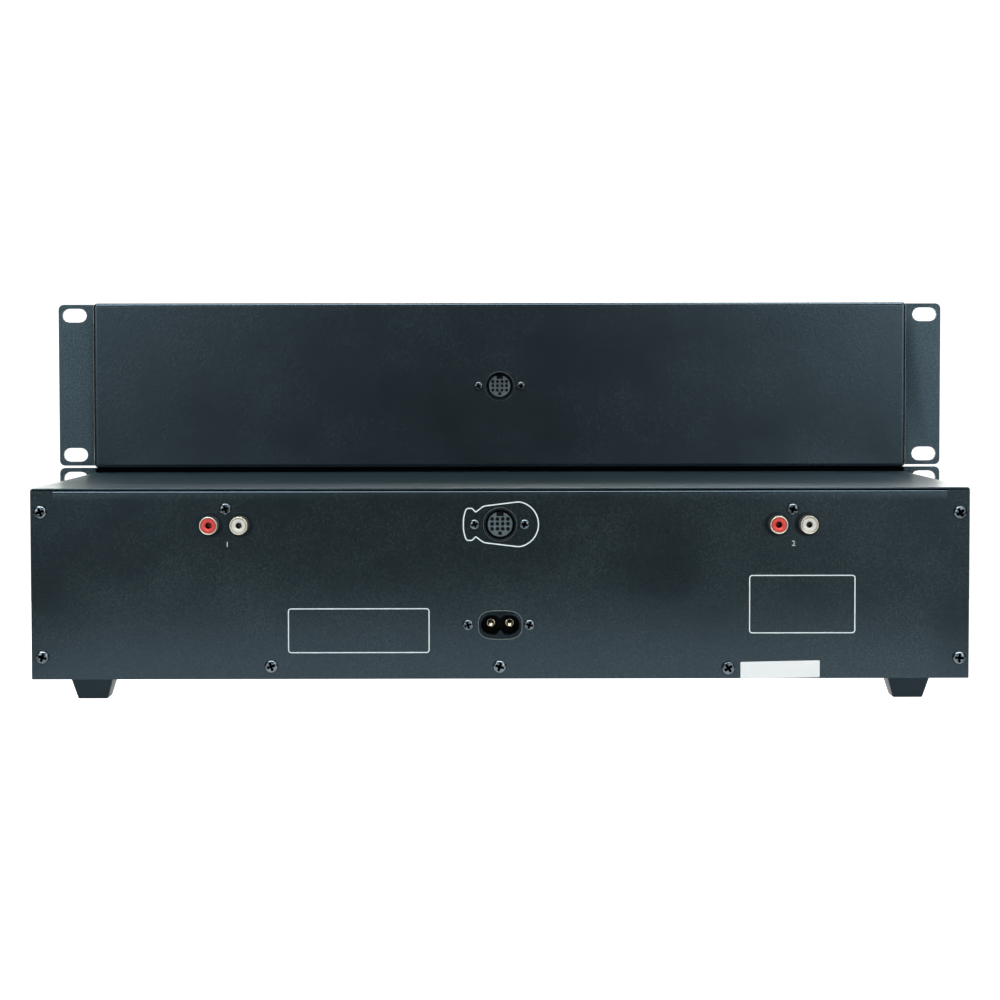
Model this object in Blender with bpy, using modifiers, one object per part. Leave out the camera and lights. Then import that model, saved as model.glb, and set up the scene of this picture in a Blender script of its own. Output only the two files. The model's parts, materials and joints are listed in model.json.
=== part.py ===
"""Double disc player for a 19-inch rack: a drive unit and the control unit that stands on it.

Metres, +Z up. The front panels face -Y, so the sockets are on the +Y side. The feet stand on z = 0,
and the origin is under the middle of the whole player. Left and right are as seen from the front.
"""

import math

import bmesh
import bpy
from mathutils import Matrix, Vector

# Clearances
GAP = 0.0003                    # between pieces that rest on each other
PLAY = 0.0004                   # round a piece that slides or turns
OVERRUN = 0.0010                # by which cutters and joined blocks run past a face

# Rack panels
PANEL_WIDTH = 0.4826
PANEL_HEIGHT = 0.0881
PANEL_THICKNESS = 0.0030
PANEL_CORNER = 0.0027
PANEL_STEP = 0.0002             # of the panel's back between its ears ahead of the ears' backs
EAR_WIDTH = 0.0278              # of the panel beside the body
SLOT_INSET = 0.00875            # of a slot's middle from the panel's end
SLOT_DROP = 0.00595             # of a slot's middle below the panel's top
SLOT_LENGTH = 0.0134
SLOT_HEIGHT = 0.0075
PANEL_DROP = 0.0002             # of the drive unit's panel below its body's middle
UNIT_GAP = 0.0012               # between the two front panels

# Drive unit's body
BODY_DEPTH = 0.2500             # from the front panel's back to the rear panel's outer face
PANEL_OVER_BODY = 0.0010        # of the panel's height over the body's
SHEET = 0.0012
PAN_HEIGHT = 0.0140
REAR_FLANGE = 0.0097            # turned in at the cover's rear corners
REAR_LIP = 0.0090               # turned in along the rear panel's top edge
LID_EDGE = 0.0001               # of the lid ahead of the rear panel's outer face

# Feet
FOOT_HEIGHT = 0.0096
FOOT_WIDTH = 0.0183
FOOT_DEPTH = 0.0200
FOOT_TAPER_SHARE = 0.69
FOOT_SIDE = 0.0265              # of a foot's middle from the body's side
FOOT_INSET = 0.0160             # of a foot's middle from the body's front and rear

# Sockets on the rear panel
SOCKET_DROP = 0.0166            # of the upper row below the lid
LINK_DROP = 0.0005              # of the control unit's socket below its box's middle
JACK_PITCH = 0.0137
JACK_REACH = 0.0090
JACK_RADIUS = 0.00405
JACK_COLLAR = 0.0058
JACK_BORE = 0.0015
JACK_BORE_DEPTH = 0.0080
JACK_BLOCK_WIDTH = 0.0300
JACK_BLOCK_DEPTH = 0.0200
JACK_BLOCK_HEIGHT = 0.0220
LEFT_JACKS_SHARE = -0.31101     # of the body's width, from its middle
RIGHT_JACKS_SHARE = 0.29251
ROUND_SOCKET_RING = 0.0076
ROUND_SOCKET_CAVITY = 0.00665
ROUND_SOCKET_CORE = 0.00565
ROUND_SOCKET_REACH = 0.0005
ROUND_SOCKET_DEPTH = 0.0090
ROUND_SOCKET_SINK = 0.0010      # of the core's face below the ring's
ROUND_FLANGE_WIDTH = 0.0300
ROUND_FLANGE_HEIGHT = 0.0180
ROUND_FLANGE_THICKNESS = 0.0015
ROUND_BLOCK_DEPTH = 0.0140
INLET_RISE = 0.0246
INLET_WIDTH = 0.0202
INLET_HEIGHT = 0.0128
INLET_CORNER = 0.0046
INLET_FLANGE_WIDTH = 0.0360
INLET_FLANGE_HEIGHT = 0.0165
INLET_FLANGE_THICKNESS = 0.0018
INLET_DEPTH = 0.0180
RECESS_WIDTH = 0.0178
RECESS_HEIGHT = 0.00865
RECESS_WAIST = 0.0045
RECESS_DEPTH = 0.0120
INLET_PIN_PITCH = 0.0086
INLET_PIN_RADIUS = 0.0014
INLET_PIN_LENGTH = 0.0090

# Disc loaders
LOADER_SPACING_SHARE = 0.55269  # of the body's width
LOADER_SETBACK = 0.0050         # of the loader frame behind the front panel
LOADER_LENGTH = 0.1760
LOADER_WALL = 0.0040
DECK_RISE = 0.0249              # of the loader's deck above the base's floor
DECK_THICKNESS = 0.0030
TRAY_RISE = 0.0170              # of the tray's underside above the deck
TRAY_WIDTH = 0.1362
TRAY_LENGTH = 0.1660
TRAY_THICKNESS = 0.0060
LEDGE_WIDTH = 0.0045
LEDGE_THICKNESS = 0.0030
TAB_LENGTH = 0.0200
DISC_RECESS = 0.0605
DISC_RECESS_DEPTH = 0.0030
SMALL_RECESS = 0.0405
SMALL_RECESS_DEPTH = 0.0040
TRAY_MARGIN = 0.0115            # of the disc recess behind the tray's front edge
TRAY_SLOT = 0.0180
DISC_LIFT = 0.0015              # of a clamped disc above the recess
DOOR_WIDTH = 0.1400
DOOR_HEIGHT = 0.0190
DOOR_SHIFT = 0.0005             # of the door's middle above the tray's
DOOR_PROUD = 0.0003
DOOR_ROUNDING = 0.0006
WINDOW_PLAY = 0.0005
BRIDGE_RISE = 0.0060            # of the loader's walls above the tray
BRIDGE_WIDTH = 0.0360
BRIDGE_THICKNESS = 0.0012

# Loading gear and rack
GEAR_TEETH = 20
GEAR_MODULE = 0.0010
PRESSURE_ANGLE = math.radians(20)
ADDENDUM_SHARE = 1.0
DEDENDUM_SHARE = 1.25
TOOTH_PLAY = 0.0002             # taken off each tooth's thickness
GEAR_THICKNESS = 0.0036
GEAR_DROP = 0.0006              # of the gear's top below the tray
GEAR_HUB = 0.0050
GEAR_SHAFT = 0.0025
GEAR_SETBACK = 0.0110           # of the gear's axis behind the loader's front
RACK_X = 0.0500                 # of the rack's pitch line from the loader's middle
RACK_BACK = 0.0040
RACK_DROP = 0.0045
RACK_TEETH = 50
MOTOR_RADIUS = 0.0120
MOTOR_LENGTH = 0.0232
SHAFT_DEPTH = 0.0150            # of the gear's shaft in its motor

# Pickup
PICKUP_WIDTH = 0.0600
PICKUP_THICKNESS = 0.0025
PICKUP_RISE = 0.0010            # above the deck's underside
PICKUP_FRONT = 0.0210           # ahead of the disc's axis
PICKUP_PLAY = 0.0060            # between the pickup and the deck's window
HINGE_REACH = 0.0940            # of the pickup's pins behind the disc's axis
HINGE_RISE = 0.0050             # of the pins above the pickup's underside
HINGE_PIN = 0.0020
HINGE_BEAM = 0.0080
EAR_THICKNESS = 0.0045
EAR_HALF = 0.0050
EAR_GAP = 0.0005                # between the deck's window and an ear
BEAM_GAP = 0.0010               # between the hinge beam and an ear
SPINDLE_RADIUS = 0.0110
SPINDLE_DROP = 0.0085           # of the spindle motor's top below a clamped disc
ROD_RADIUS = 0.0015
ROD_SPACING = 0.0250
ROD_RISE = 0.0070               # above the pickup's underside
POST_LENGTH = 0.0040
POST_WIDTH = 0.0070
FRONT_POST_REACH = 0.0090       # of the front posts' middle behind the disc's axis
SLED_SIDE = 0.0035              # of the sled beside a rod's axis
SLED_LENGTH = 0.0240
SLED_HEIGHT = 0.0160
SLED_RISE = 0.0015              # above the pickup's plate
SLED_TRAVEL = 0.0340
SLED_PLAY = 0.0010              # between the sled and a post
LENS_RADIUS = 0.0040
LENS_RISE = 0.0016

# Turntable and clamp
PLATTER_RADIUS = 0.0150
PLATTER_THICKNESS = 0.0030
PLATTER_HUB = 0.0060
CENTRING_RADIUS = 0.0074
CENTRING_HEIGHT = 0.0025
SPINDLE_SHAFT = 0.0015
SPINDLE_DEPTH = 0.0100
PUCK_RADIUS = 0.0145
PUCK_THICKNESS = 0.0040
PUCK_NECK = 0.0110
PUCK_FLANGE = 0.0140
PUCK_FLANGE_THICKNESS = 0.0015
PUCK_LIFT = 0.0015              # of the puck above the turntable without a disc

# Boards and transformer in the drive unit
BOARD_THICKNESS = 0.0016
POST_RADIUS = 0.0030
POST_INSET = 0.0060
MAIN_BOARD_INSET = 0.0435       # of its end from the body's side
MAIN_BOARD_DEPTH = 0.0560
MAIN_BOARD_SETBACK = 0.0090     # from the rear panel's outer face
JACK_SEAT = 0.0110              # of the main board below the upper sockets' axis
POWER_BOARD_CLEAR = 0.0055      # beside the loaders
POWER_BOARD_DEPTH = 0.0980
POWER_BOARD_RISE = 0.0060
POWER_BOARD_SETBACK = 0.0110
CAPACITOR_RADIUS = 0.0080
CAPACITOR_HEIGHT = 0.0260
SINK_INSET = 0.0150             # of its end from the power board's side
SINK_DEPTH = 0.0120
SINK_HEIGHT = 0.0300
CHIP_WIDTH = 0.0220
CHIP_DEPTH = 0.0200
CHIP_HEIGHT = 0.0025
CORE_CLEAR = 0.0155             # beside the loaders
CORE_DEPTH = 0.0200
CORE_HEIGHT = 0.0480
COIL_SHARE = 0.70               # of the core's width
COIL_DEPTH = 0.0460
COIL_HEIGHT = 0.0320
CORE_INSET = 0.0450             # of the transformer's middle behind the front panel

# Control unit
BOX_DEPTH = 0.0595
PANEL_OVER_BOX = 0.0015         # of the panel's height over the box's
PAD_WIDTH = 0.0140
PAD_DEPTH = 0.0460
PAD_SIDE = 0.0435               # of a pad's middle from the body's side
CONTROL_BOARD_SETBACK = 0.0140
CONTROL_BOARD_INSET = 0.0045    # of its end from the body's side
CONTROL_POST_INSET = 0.0050
CONTROL_BOARD_DROP = 0.00605    # of its top below the panel's
JOG_RADIUS_SHARE = 0.14520      # of a deck's width, as the shares below are
JOG_REACH = 0.0140
JOG_LIFT = 0.0004               # of the wheel off the panel
JOG_STEP = 0.0040
JOG_STEP_INSET = 0.0020
JOG_SHAFT = 0.0030
JOG_SHAFT_DEPTH = 0.0060
JOG_X_SHARE = 0.10304
JOG_Z = -0.0020
JOG_HOLE = 0.0040
DIMPLE_RADIUS = 0.0100
DIMPLE_DEPTH = 0.0030
DIMPLE_REACH_SHARE = 0.58       # of the wheel's radius
ENCODER_RADIUS = 0.0070
ENCODER_LENGTH = 0.0080
FADER_X_SHARE = 0.36534
FADER_TRAVEL = 0.0300
FADER_SLOT = 0.0024
FADER_STEM = 0.0014
FADER_STEM_HEIGHT = 0.0050
FADER_CAP_WIDTH = 0.0180
FADER_CAP_HEIGHT = 0.0090
FADER_CAP_REACH = 0.0080
FADER_BODY_WIDTH = 0.0120
FADER_BODY_THICKNESS = 0.0070
DISPLAY_X_SHARE = -0.23419
DISPLAY_Z_SHARE = 0.25539       # of the panel's height, as the share below is
DISPLAY_WIDTH_SHARE = 0.36534
DISPLAY_HEIGHT_SHARE = 0.29512
DISPLAY_CORNER = 0.0015
DISPLAY_EDGE = 0.0020           # of the window's rim behind the panel
DISPLAY_RIM = 0.0012
DISPLAY_MODULE_SHARE = 0.95

# Keys
KEY_REACH = 0.0025
KEY_RIM = 0.0012
KEY_RIM_THICKNESS = 0.0010
KEY_ROUNDING = 0.0004
KEY_TRAVEL = 0.0010
KEY_STEM = 0.0040
SWITCH_SIZE = 0.0060
BIG_KEY_WIDTH_SHARE = 0.10304   # of a deck's width, as the shares below are
BIG_KEY_HEIGHT = 0.0180
SMALL_KEY_WIDTH_SHARE = 0.05621
SMALL_KEY_HEIGHT = 0.0070
ROCKER_WIDTH_SHARE = 0.11241
ROCKER_HEIGHT = 0.0080
ROCKER_PLAY = 0.0006
CUE_X_SHARE = -0.34660
PLAY_X_SHARE = -0.21546
BIG_KEY_Z_SHARE = -0.24972      # of the panel's height
TRACK_X_SHARE = -0.34660
BEND_X_SHARE = -0.20609
SMALL_KEY_X_SHARE = -0.09368
SMALL_KEY_Z = -0.0015
OPEN_KEY_WIDTH = 0.0200
OPEN_KEY_HEIGHT = 0.0080
POWER_KEY_WIDTH = 0.0140
POWER_KEY_HEIGHT = 0.0100
FRONT_KEY_RISE = 0.0225         # of the drive unit's buttons above its body's underside

# Counts
CORNER_STEPS = 3
HOLE_SIDES = 16
ROUND_SIDES = 20
WHEEL_SIDES = 32
FLANK_POINTS = 3
FILL_SCALE = 1000               # outlines are filled this much larger, then brought back

# Widths and heights worked out from the panel's
BODY_WIDTH = PANEL_WIDTH - 2 * EAR_WIDTH
SLOT_SPACING_X = PANEL_WIDTH - 2 * SLOT_INSET
SLOT_SPACING_Z = PANEL_HEIGHT - 2 * SLOT_DROP
BODY_HEIGHT = PANEL_HEIGHT - PANEL_OVER_BODY
BOX_HEIGHT = PANEL_HEIGHT - PANEL_OVER_BOX
CONTROL_BOARD_HEIGHT = PANEL_HEIGHT - 2 * CONTROL_BOARD_DROP
DISPLAY_Z = PANEL_HEIGHT * DISPLAY_Z_SHARE
DISPLAY_HEIGHT = PANEL_HEIGHT * DISPLAY_HEIGHT_SHARE
BIG_KEY_Z = PANEL_HEIGHT * BIG_KEY_Z_SHARE
FOOT_SPACING = BODY_WIDTH - 2 * FOOT_SIDE
PAD_SPACING = BODY_WIDTH - 2 * PAD_SIDE
LOADER_SPACING = BODY_WIDTH * LOADER_SPACING_SHARE
MAIN_BOARD_WIDTH = BODY_WIDTH - 2 * MAIN_BOARD_INSET
CONTROL_BOARD_WIDTH = BODY_WIDTH - 2 * CONTROL_BOARD_INSET
DECK_WIDTH = BODY_WIDTH / 2
JOG_RADIUS = DECK_WIDTH * JOG_RADIUS_SHARE
DISPLAY_WIDTH = DECK_WIDTH * DISPLAY_WIDTH_SHARE
BIG_KEY_WIDTH = DECK_WIDTH * BIG_KEY_WIDTH_SHARE
SMALL_KEY_WIDTH = DECK_WIDTH * SMALL_KEY_WIDTH_SHARE
ROCKER_WIDTH = DECK_WIDTH * ROCKER_WIDTH_SHARE
JOG_X = DECK_WIDTH * JOG_X_SHARE
FADER_X = DECK_WIDTH * FADER_X_SHARE
DISPLAY_X = DECK_WIDTH * DISPLAY_X_SHARE
CUE_X = DECK_WIDTH * CUE_X_SHARE
PLAY_X = DECK_WIDTH * PLAY_X_SHARE
TRACK_X = DECK_WIDTH * TRACK_X_SHARE
BEND_X = DECK_WIDTH * BEND_X_SHARE
SMALL_KEY_X = DECK_WIDTH * SMALL_KEY_X_SHARE

# Places worked out from the sizes
OVERALL_DEPTH = JOG_REACH + PANEL_THICKNESS + BODY_DEPTH + JACK_REACH
PANEL_FRONT = JOG_REACH - OVERALL_DEPTH / 2
PANEL_BACK = PANEL_FRONT + PANEL_THICKNESS
REAR = PANEL_BACK + BODY_DEPTH
BODY_BASE = FOOT_HEIGHT + GAP
LID = BODY_BASE + BODY_HEIGHT
FLOOR = BODY_BASE + SHEET
DRIVE_PANEL_Z = BODY_BASE + BODY_HEIGHT / 2 - PANEL_DROP
CONTROL_Z = DRIVE_PANEL_Z + PANEL_HEIGHT + UNIT_GAP
BOX_REAR = PANEL_BACK + BOX_DEPTH
SOCKET_Z = LID - SOCKET_DROP
LINK_Z = CONTROL_Z - LINK_DROP
INLET_Z = BODY_BASE + INLET_RISE
FRONT_KEY_Z = BODY_BASE + FRONT_KEY_RISE
LOADER_FRONT = PANEL_BACK + LOADER_SETBACK
LOADER_INNER = TRAY_WIDTH / 2 + PLAY
LOADER_OUTER = LOADER_INNER + LOADER_WALL
BETWEEN_LOADERS = LOADER_SPACING - 2 * LOADER_OUTER
POWER_BOARD_WIDTH = BETWEEN_LOADERS - 2 * POWER_BOARD_CLEAR
CORE_WIDTH = BETWEEN_LOADERS - 2 * CORE_CLEAR
DECK = FLOOR + DECK_RISE
DECK_TOP = DECK + DECK_THICKNESS
TRAY = DECK_TOP + TRAY_RISE
TRAY_TOP = TRAY + TRAY_THICKNESS
TRAY_FRONT = PANEL_BACK
DISC_Y = TRAY_FRONT + TRAY_MARGIN + DISC_RECESS
DISC_Z = TRAY_TOP - DISC_RECESS_DEPTH + DISC_LIFT
DOOR_Z = TRAY + TRAY_THICKNESS / 2 + DOOR_SHIFT
BRIDGE = TRAY_TOP + BRIDGE_RISE + GAP
BRIDGE_TOP = BRIDGE + BRIDGE_THICKNESS
GEAR_RADIUS = GEAR_TEETH * GEAR_MODULE / 2
GEAR_X = RACK_X - GEAR_RADIUS
GEAR_Y = LOADER_FRONT + GEAR_SETBACK
GEAR_TOP = TRAY - GEAR_DROP
TOOTH_PITCH = math.pi * GEAR_MODULE
PICKUP = DECK + PICKUP_RISE
PICKUP_TOP = PICKUP + PICKUP_THICKNESS
HINGE_Y = DISC_Y + HINGE_REACH
HINGE_Z = PICKUP + HINGE_RISE
SPINDLE_TOP = DISC_Z - SPINDLE_DROP
ROD_Z = PICKUP + ROD_RISE
SLED_WIDTH = ROD_SPACING + 2 * SLED_SIDE
SLED_FRONT = DISC_Y + FRONT_POST_REACH + POST_LENGTH / 2 + SLED_PLAY
SLED_REAR = SLED_FRONT + SLED_LENGTH + SLED_TRAVEL + SLED_PLAY + POST_LENGTH
MAIN_BOARD = SOCKET_Z - JACK_SEAT - GAP - BOARD_THICKNESS
CONTROL_BOARD = PANEL_BACK + CONTROL_BOARD_SETBACK
LOADERS = {"left": -LOADER_SPACING / 2, "right": LOADER_SPACING / 2}
DECKS = {"left": -DECK_WIDTH / 2, "right": DECK_WIDTH / 2}

# Colour, roughness and metallic value of each finish
BLACK_STEEL = ((0.020, 0.022, 0.025), 0.55, 0.3)
BLACK_PANEL = ((0.018, 0.020, 0.023), 0.50, 0.3)
BLACK_PLASTIC = ((0.012, 0.012, 0.013), 0.40, 0.0)
DARK_PLASTIC = ((0.030, 0.031, 0.033), 0.50, 0.0)
GREY_PLASTIC = ((0.090, 0.093, 0.098), 0.45, 0.0)
RUBBER = ((0.010, 0.010, 0.010), 0.80, 0.0)
ZINC = ((0.620, 0.620, 0.600), 0.35, 1.0)
BOARD_GREEN = ((0.020, 0.110, 0.050), 0.45, 0.0)
CORE_STEEL = ((0.250, 0.240, 0.230), 0.50, 0.8)
WHITE_PLASTIC = ((0.700, 0.690, 0.650), 0.40, 0.0)
SMOKED = ((0.020, 0.025, 0.030), 0.10, 0.0)
KEY_GREEN = ((0.050, 0.280, 0.120), 0.40, 0.0)
KEY_AMBER = ((0.550, 0.240, 0.030), 0.40, 0.0)


# Scene, objects and modifiers

def clear_scene():
    for item in list(bpy.data.objects):
        bpy.data.objects.remove(item, do_unlink=True)


def new_collection(name):
    group = bpy.data.collections.new(name)
    bpy.context.scene.collection.children.link(group)
    return group


def new_finish(name, look):
    """A material of its own for one part."""
    colour, roughness, metallic = look
    material = bpy.data.materials.new(name)
    material.use_nodes = True
    shader = material.node_tree.nodes["Principled BSDF"]
    shader.inputs["Base Color"].default_value = (*colour, 1.0)
    shader.inputs["Roughness"].default_value = roughness
    shader.inputs["Metallic"].default_value = metallic
    material.diffuse_color = (*colour, 1.0)
    return material


def new_mesh(name, shape):
    mesh = bpy.data.meshes.new(name)
    shape.to_mesh(mesh)
    shape.free()
    return mesh


def add_part(name, shape, look, origin=(0, 0, 0)):
    """A named part whose own origin is at the given place, such as on its joint's axis."""
    mesh = new_mesh(name, shape)
    mesh.transform(Matrix.Translation(-Vector(origin)))
    part = bpy.data.objects.new(name, mesh)
    part.location = origin
    mesh.materials.append(new_finish(name, look))
    PARTS.objects.link(part)
    return part


def add_cutter(name, shape):
    """A hidden shape that a Boolean reads."""
    cutter = bpy.data.objects.new(name, new_mesh(name, shape))
    cutter.hide_render = True
    cutter.display_type = 'WIRE'
    CUTTERS.objects.link(cutter)
    return cutter


def add_boolean(part, other, operation):
    modifier = part.modifiers.new(operation.lower(), 'BOOLEAN')
    modifier.operation = operation
    modifier.solver = 'EXACT'
    modifier.object = other


def unite(part, shape):
    add_boolean(part, add_cutter(part.name + "_joined", shape), 'UNION')


def cut(part, shape):
    add_boolean(part, add_cutter(part.name + "_cut", shape), 'DIFFERENCE')


def round_edges(part, width):
    modifier = part.modifiers.new("rounding", 'BEVEL')
    modifier.width = width
    modifier.segments = 1
    modifier.limit_method = 'ANGLE'
    modifier.use_clamp_overlap = True


# Solid shapes, each added to a bmesh

def block(shape, x, y, z):
    """A box between a low and a high limit on each axis."""
    low = Vector((x[0], y[0], z[0]))
    high = Vector((x[1], y[1], z[1]))
    placed = Matrix.Translation((low + high) / 2) @ Matrix.Diagonal((*(high - low), 1))
    return bmesh.ops.create_cube(shape, size=1, matrix=placed)["verts"]


def rod(shape, start, end, radius, sides=HOLE_SIDES):
    """A cylinder between two points."""
    start, end = Vector(start), Vector(end)
    run = end - start
    turn = run.to_track_quat('Z', 'Y').to_matrix().to_4x4()
    bmesh.ops.create_cone(shape, cap_ends=True, segments=sides, radius1=radius, radius2=radius,
                          depth=run.length, matrix=Matrix.Translation((start + end) / 2) @ turn)


def around(middle, size):
    """The two limits of a size centred on a place."""
    return (middle - size / 2, middle + size / 2)


def wall_turned(spans, open_sides, thickness, name, look):
    """A folded sheet: a box without its open sides, made solid inwards."""
    shape = bmesh.new()
    block(shape, *spans)
    shape.normal_update()
    open_faces = [face for face in shape.faces
                  if any(face.normal.dot(Vector(side)) > 0.5 for side in open_sides)]
    bmesh.ops.delete(shape, geom=open_faces, context='FACES')
    part = add_part(name, shape, look)
    sheet = part.modifiers.new("sheet", 'SOLIDIFY')
    sheet.thickness = thickness
    sheet.offset = -1
    sheet.use_even_offset = True
    return part


# Flat outlines, filled and given a thickness

def rounded_loop(middle, size, radius):
    """A rounded rectangle, or a slot with round ends where the radius is half its height."""
    points = []
    for quarter, (side, level) in enumerate(((1, 1), (-1, 1), (-1, -1), (1, -1))):
        corner_x = middle[0] + side * (size[0] / 2 - radius)
        corner_y = middle[1] + level * (size[1] / 2 - radius)
        for step in range(CORNER_STEPS + 1):
            angle = (quarter + step / CORNER_STEPS) * math.pi / 2
            points.append((corner_x + radius * math.cos(angle), corner_y + radius * math.sin(angle)))
    return points


def round_loop(middle, radius, sides=HOLE_SIDES):
    angles = [math.tau * side / sides for side in range(sides)]
    return [(middle[0] + radius * math.cos(angle), middle[1] + radius * math.sin(angle))
            for angle in angles]


def waisted_loop(middle, width, height, waist):
    """Two round lobes that meet at a straight waist, like a figure eight on its side."""
    radius = height / 2
    half_open = math.asin(waist / height)
    points = []
    for side in (1, -1):
        for step in range(HOLE_SIDES // 2 + 1):
            sweep = (math.pi - half_open) * (2 * step / (HOLE_SIDES // 2) - 1)
            points.append((middle[0] + side * (width / 2 - radius + radius * math.cos(sweep)),
                           middle[1] + side * radius * math.sin(sweep)))
    return points


def without_repeats(loop):
    kept = []
    for place in loop:
        if not kept or math.dist(place, kept[-1]) * FILL_SCALE > GAP:
            kept.append(place)
    if math.dist(kept[0], kept[-1]) * FILL_SCALE <= GAP:
        kept.pop()
    return kept


def plate(shape, loops, span, facing):
    """Fills the first loop around the others, between two limits along Y or Z."""
    curve = bpy.data.curves.new("outline", 'CURVE')
    curve.dimensions = '2D'
    curve.fill_mode = 'BOTH'
    curve.extrude = (span[1] - span[0]) / 2 * FILL_SCALE
    for loop in loops:
        kept = without_repeats(loop)
        spline = curve.splines.new('POLY')
        spline.points.add(len(kept) - 1)
        spline.use_cyclic_u = True
        for point, (across, up) in zip(spline.points, kept):
            point.co = (across * FILL_SCALE, up * FILL_SCALE, 0, 1)
    drawn = bpy.data.objects.new("outline", curve)
    CUTTERS.objects.link(drawn)
    depsgraph = bpy.context.evaluated_depsgraph_get()
    mesh = bpy.data.meshes.new_from_object(drawn.evaluated_get(depsgraph))
    bpy.data.objects.remove(drawn, do_unlink=True)
    turn = Matrix.Rotation(math.pi / 2, 4, 'X') if facing == 'Y' else Matrix.Identity(4)
    middle = (span[0] + span[1]) / 2
    shift = Vector((0, middle, 0)) if facing == 'Y' else Vector((0, 0, middle))
    mesh.transform(Matrix.Translation(shift) @ turn @ Matrix.Scale(1 / FILL_SCALE, 4))
    filled = bmesh.new()
    filled.from_mesh(mesh)
    bmesh.ops.remove_doubles(filled, verts=filled.verts, dist=GAP / FILL_SCALE)
    bmesh.ops.recalc_face_normals(filled, faces=filled.faces)
    filled.to_mesh(mesh)
    filled.free()
    shape.from_mesh(mesh)
    bpy.data.meshes.remove(mesh)


# Turned shapes

def profile_line(profile):
    """A chain of edges through (radius, height) points, from the top down."""
    shape = bmesh.new()
    points = [shape.verts.new((radius, 0, height)) for radius, height in profile]
    for upper, lower in zip(points, points[1:]):
        shape.edges.new((upper, lower))
    return shape


def turned(name, profile, look, place, sides=ROUND_SIDES, tilt=0):
    """A part turned from its profile about an upright axis, then tilted and placed."""
    part = add_part(name, profile_line(profile), look)
    turn_about_axis(part, place, sides, tilt)
    return part


def turned_join(part, profile, place, sides, tilt):
    """Joins a turned piece to a part."""
    piece = add_cutter(part.name + "_turned", profile_line(profile))
    turn_about_axis(piece, place, sides, tilt)
    add_boolean(part, piece, 'UNION')


def turn_about_axis(part, place, sides, tilt):
    part.location = place
    part.rotation_euler = (tilt, 0, 0)
    screw = part.modifiers.new("turning", 'SCREW')
    screw.steps = sides
    screw.render_steps = sides
    screw.use_merge_vertices = True
    screw.merge_threshold = GAP / 10
    screw.use_smooth_shade = True


FACE_REAR = -math.pi / 2        # turns a profile's top towards +Y
FACE_FRONT = math.pi / 2        # turns a profile's top towards -Y


# Drive unit's casing

def make_rack_panel(name, panel_z, openings):
    """A plate with a slotted ear at each end. Its back is set forward a little between the ears."""
    outline = rounded_loop((0, panel_z), (PANEL_WIDTH, PANEL_HEIGHT), PANEL_CORNER)
    slots = [rounded_loop((side * SLOT_SPACING_X / 2, panel_z + level * SLOT_SPACING_Z / 2),
                          (SLOT_LENGTH, SLOT_HEIGHT), SLOT_HEIGHT / 2)
             for side in (-1, 1) for level in (-1, 1)]
    shape = bmesh.new()
    plate(shape, [outline] + slots + openings, (PANEL_FRONT, PANEL_BACK), 'Y')
    for edge in (*around(0, BODY_WIDTH), *around(0, BODY_WIDTH + 2 * GAP)):
        whole = shape.verts[:] + shape.edges[:] + shape.faces[:]
        bmesh.ops.bisect_plane(shape, geom=whole, plane_co=(edge, 0, 0), plane_no=(1, 0, 0))
    middle = [vert for vert in shape.verts
              if abs(vert.co.x) < (BODY_WIDTH + GAP) / 2 and vert.co.y > PANEL_BACK - PANEL_STEP]
    bmesh.ops.translate(shape, verts=middle, vec=(0, -PANEL_STEP, 0))
    add_part(name, shape, BLACK_PANEL)


def key_hole(x, z, width, height, play=PLAY):
    return rounded_loop((x, z), (width + 2 * play, height + 2 * play), KEY_ROUNDING + play)


def make_base():
    wall_turned((around(0, BODY_WIDTH - 2 * SHEET - 2 * GAP),
                 (PANEL_BACK + GAP, REAR - SHEET - GAP),
                 (BODY_BASE, BODY_BASE + PAN_HEIGHT)),
                [(0, 0, 1)], SHEET, "drive_base", BLACK_STEEL)


def make_cover():
    inner_rear = REAR - SHEET - GAP
    cover = wall_turned((around(0, BODY_WIDTH), (PANEL_BACK + GAP, REAR - LID_EDGE), (BODY_BASE, LID)),
                        [(0, 0, -1), (0, 1, 0), (0, -1, 0)], SHEET, "drive_cover", BLACK_STEEL)
    behind_lid = bmesh.new()
    block(behind_lid, around(0, BODY_WIDTH + 2 * OVERRUN), (inner_rear, REAR + OVERRUN),
          (BODY_BASE - OVERRUN, LID - SHEET))
    cut(cover, behind_lid)
    flanges = bmesh.new()
    for side in (-1, 1):
        edge = side * (BODY_WIDTH / 2 - SHEET / 2)
        inner = side * (BODY_WIDTH / 2 - REAR_FLANGE)
        block(flanges, sorted((edge, inner)), (inner_rear - SHEET, inner_rear),
              (BODY_BASE + PAN_HEIGHT + GAP, LID - SHEET / 2))
    unite(cover, flanges)


def make_rear_panel():
    width = BODY_WIDTH - 2 * GAP
    top = LID - SHEET - PLAY
    holes = [round_loop((BODY_WIDTH * share + side * JACK_PITCH / 2, SOCKET_Z), JACK_COLLAR + GAP)
             for share in (LEFT_JACKS_SHARE, RIGHT_JACKS_SHARE) for side in (-1, 1)]
    holes.append(round_loop((0, SOCKET_Z), ROUND_SOCKET_RING + GAP, ROUND_SIDES))
    holes.append(rounded_loop((0, INLET_Z), (INLET_WIDTH + 2 * GAP, INLET_HEIGHT + 2 * GAP),
                              INLET_CORNER))
    outline = rounded_loop((0, (BODY_BASE + top) / 2), (width, top - BODY_BASE), SHEET / 2)
    shape = bmesh.new()
    plate(shape, [outline] + holes, (REAR - SHEET, REAR), 'Y')
    panel = add_part("drive_rear_panel", shape, BLACK_PANEL)
    lip = bmesh.new()
    block(lip, around(0, BODY_WIDTH - 2 * REAR_FLANGE - 2 * PLAY),
          (REAR - REAR_LIP, REAR - SHEET / 2), (top - SHEET, top - LID_EDGE))
    unite(panel, lip)


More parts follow.
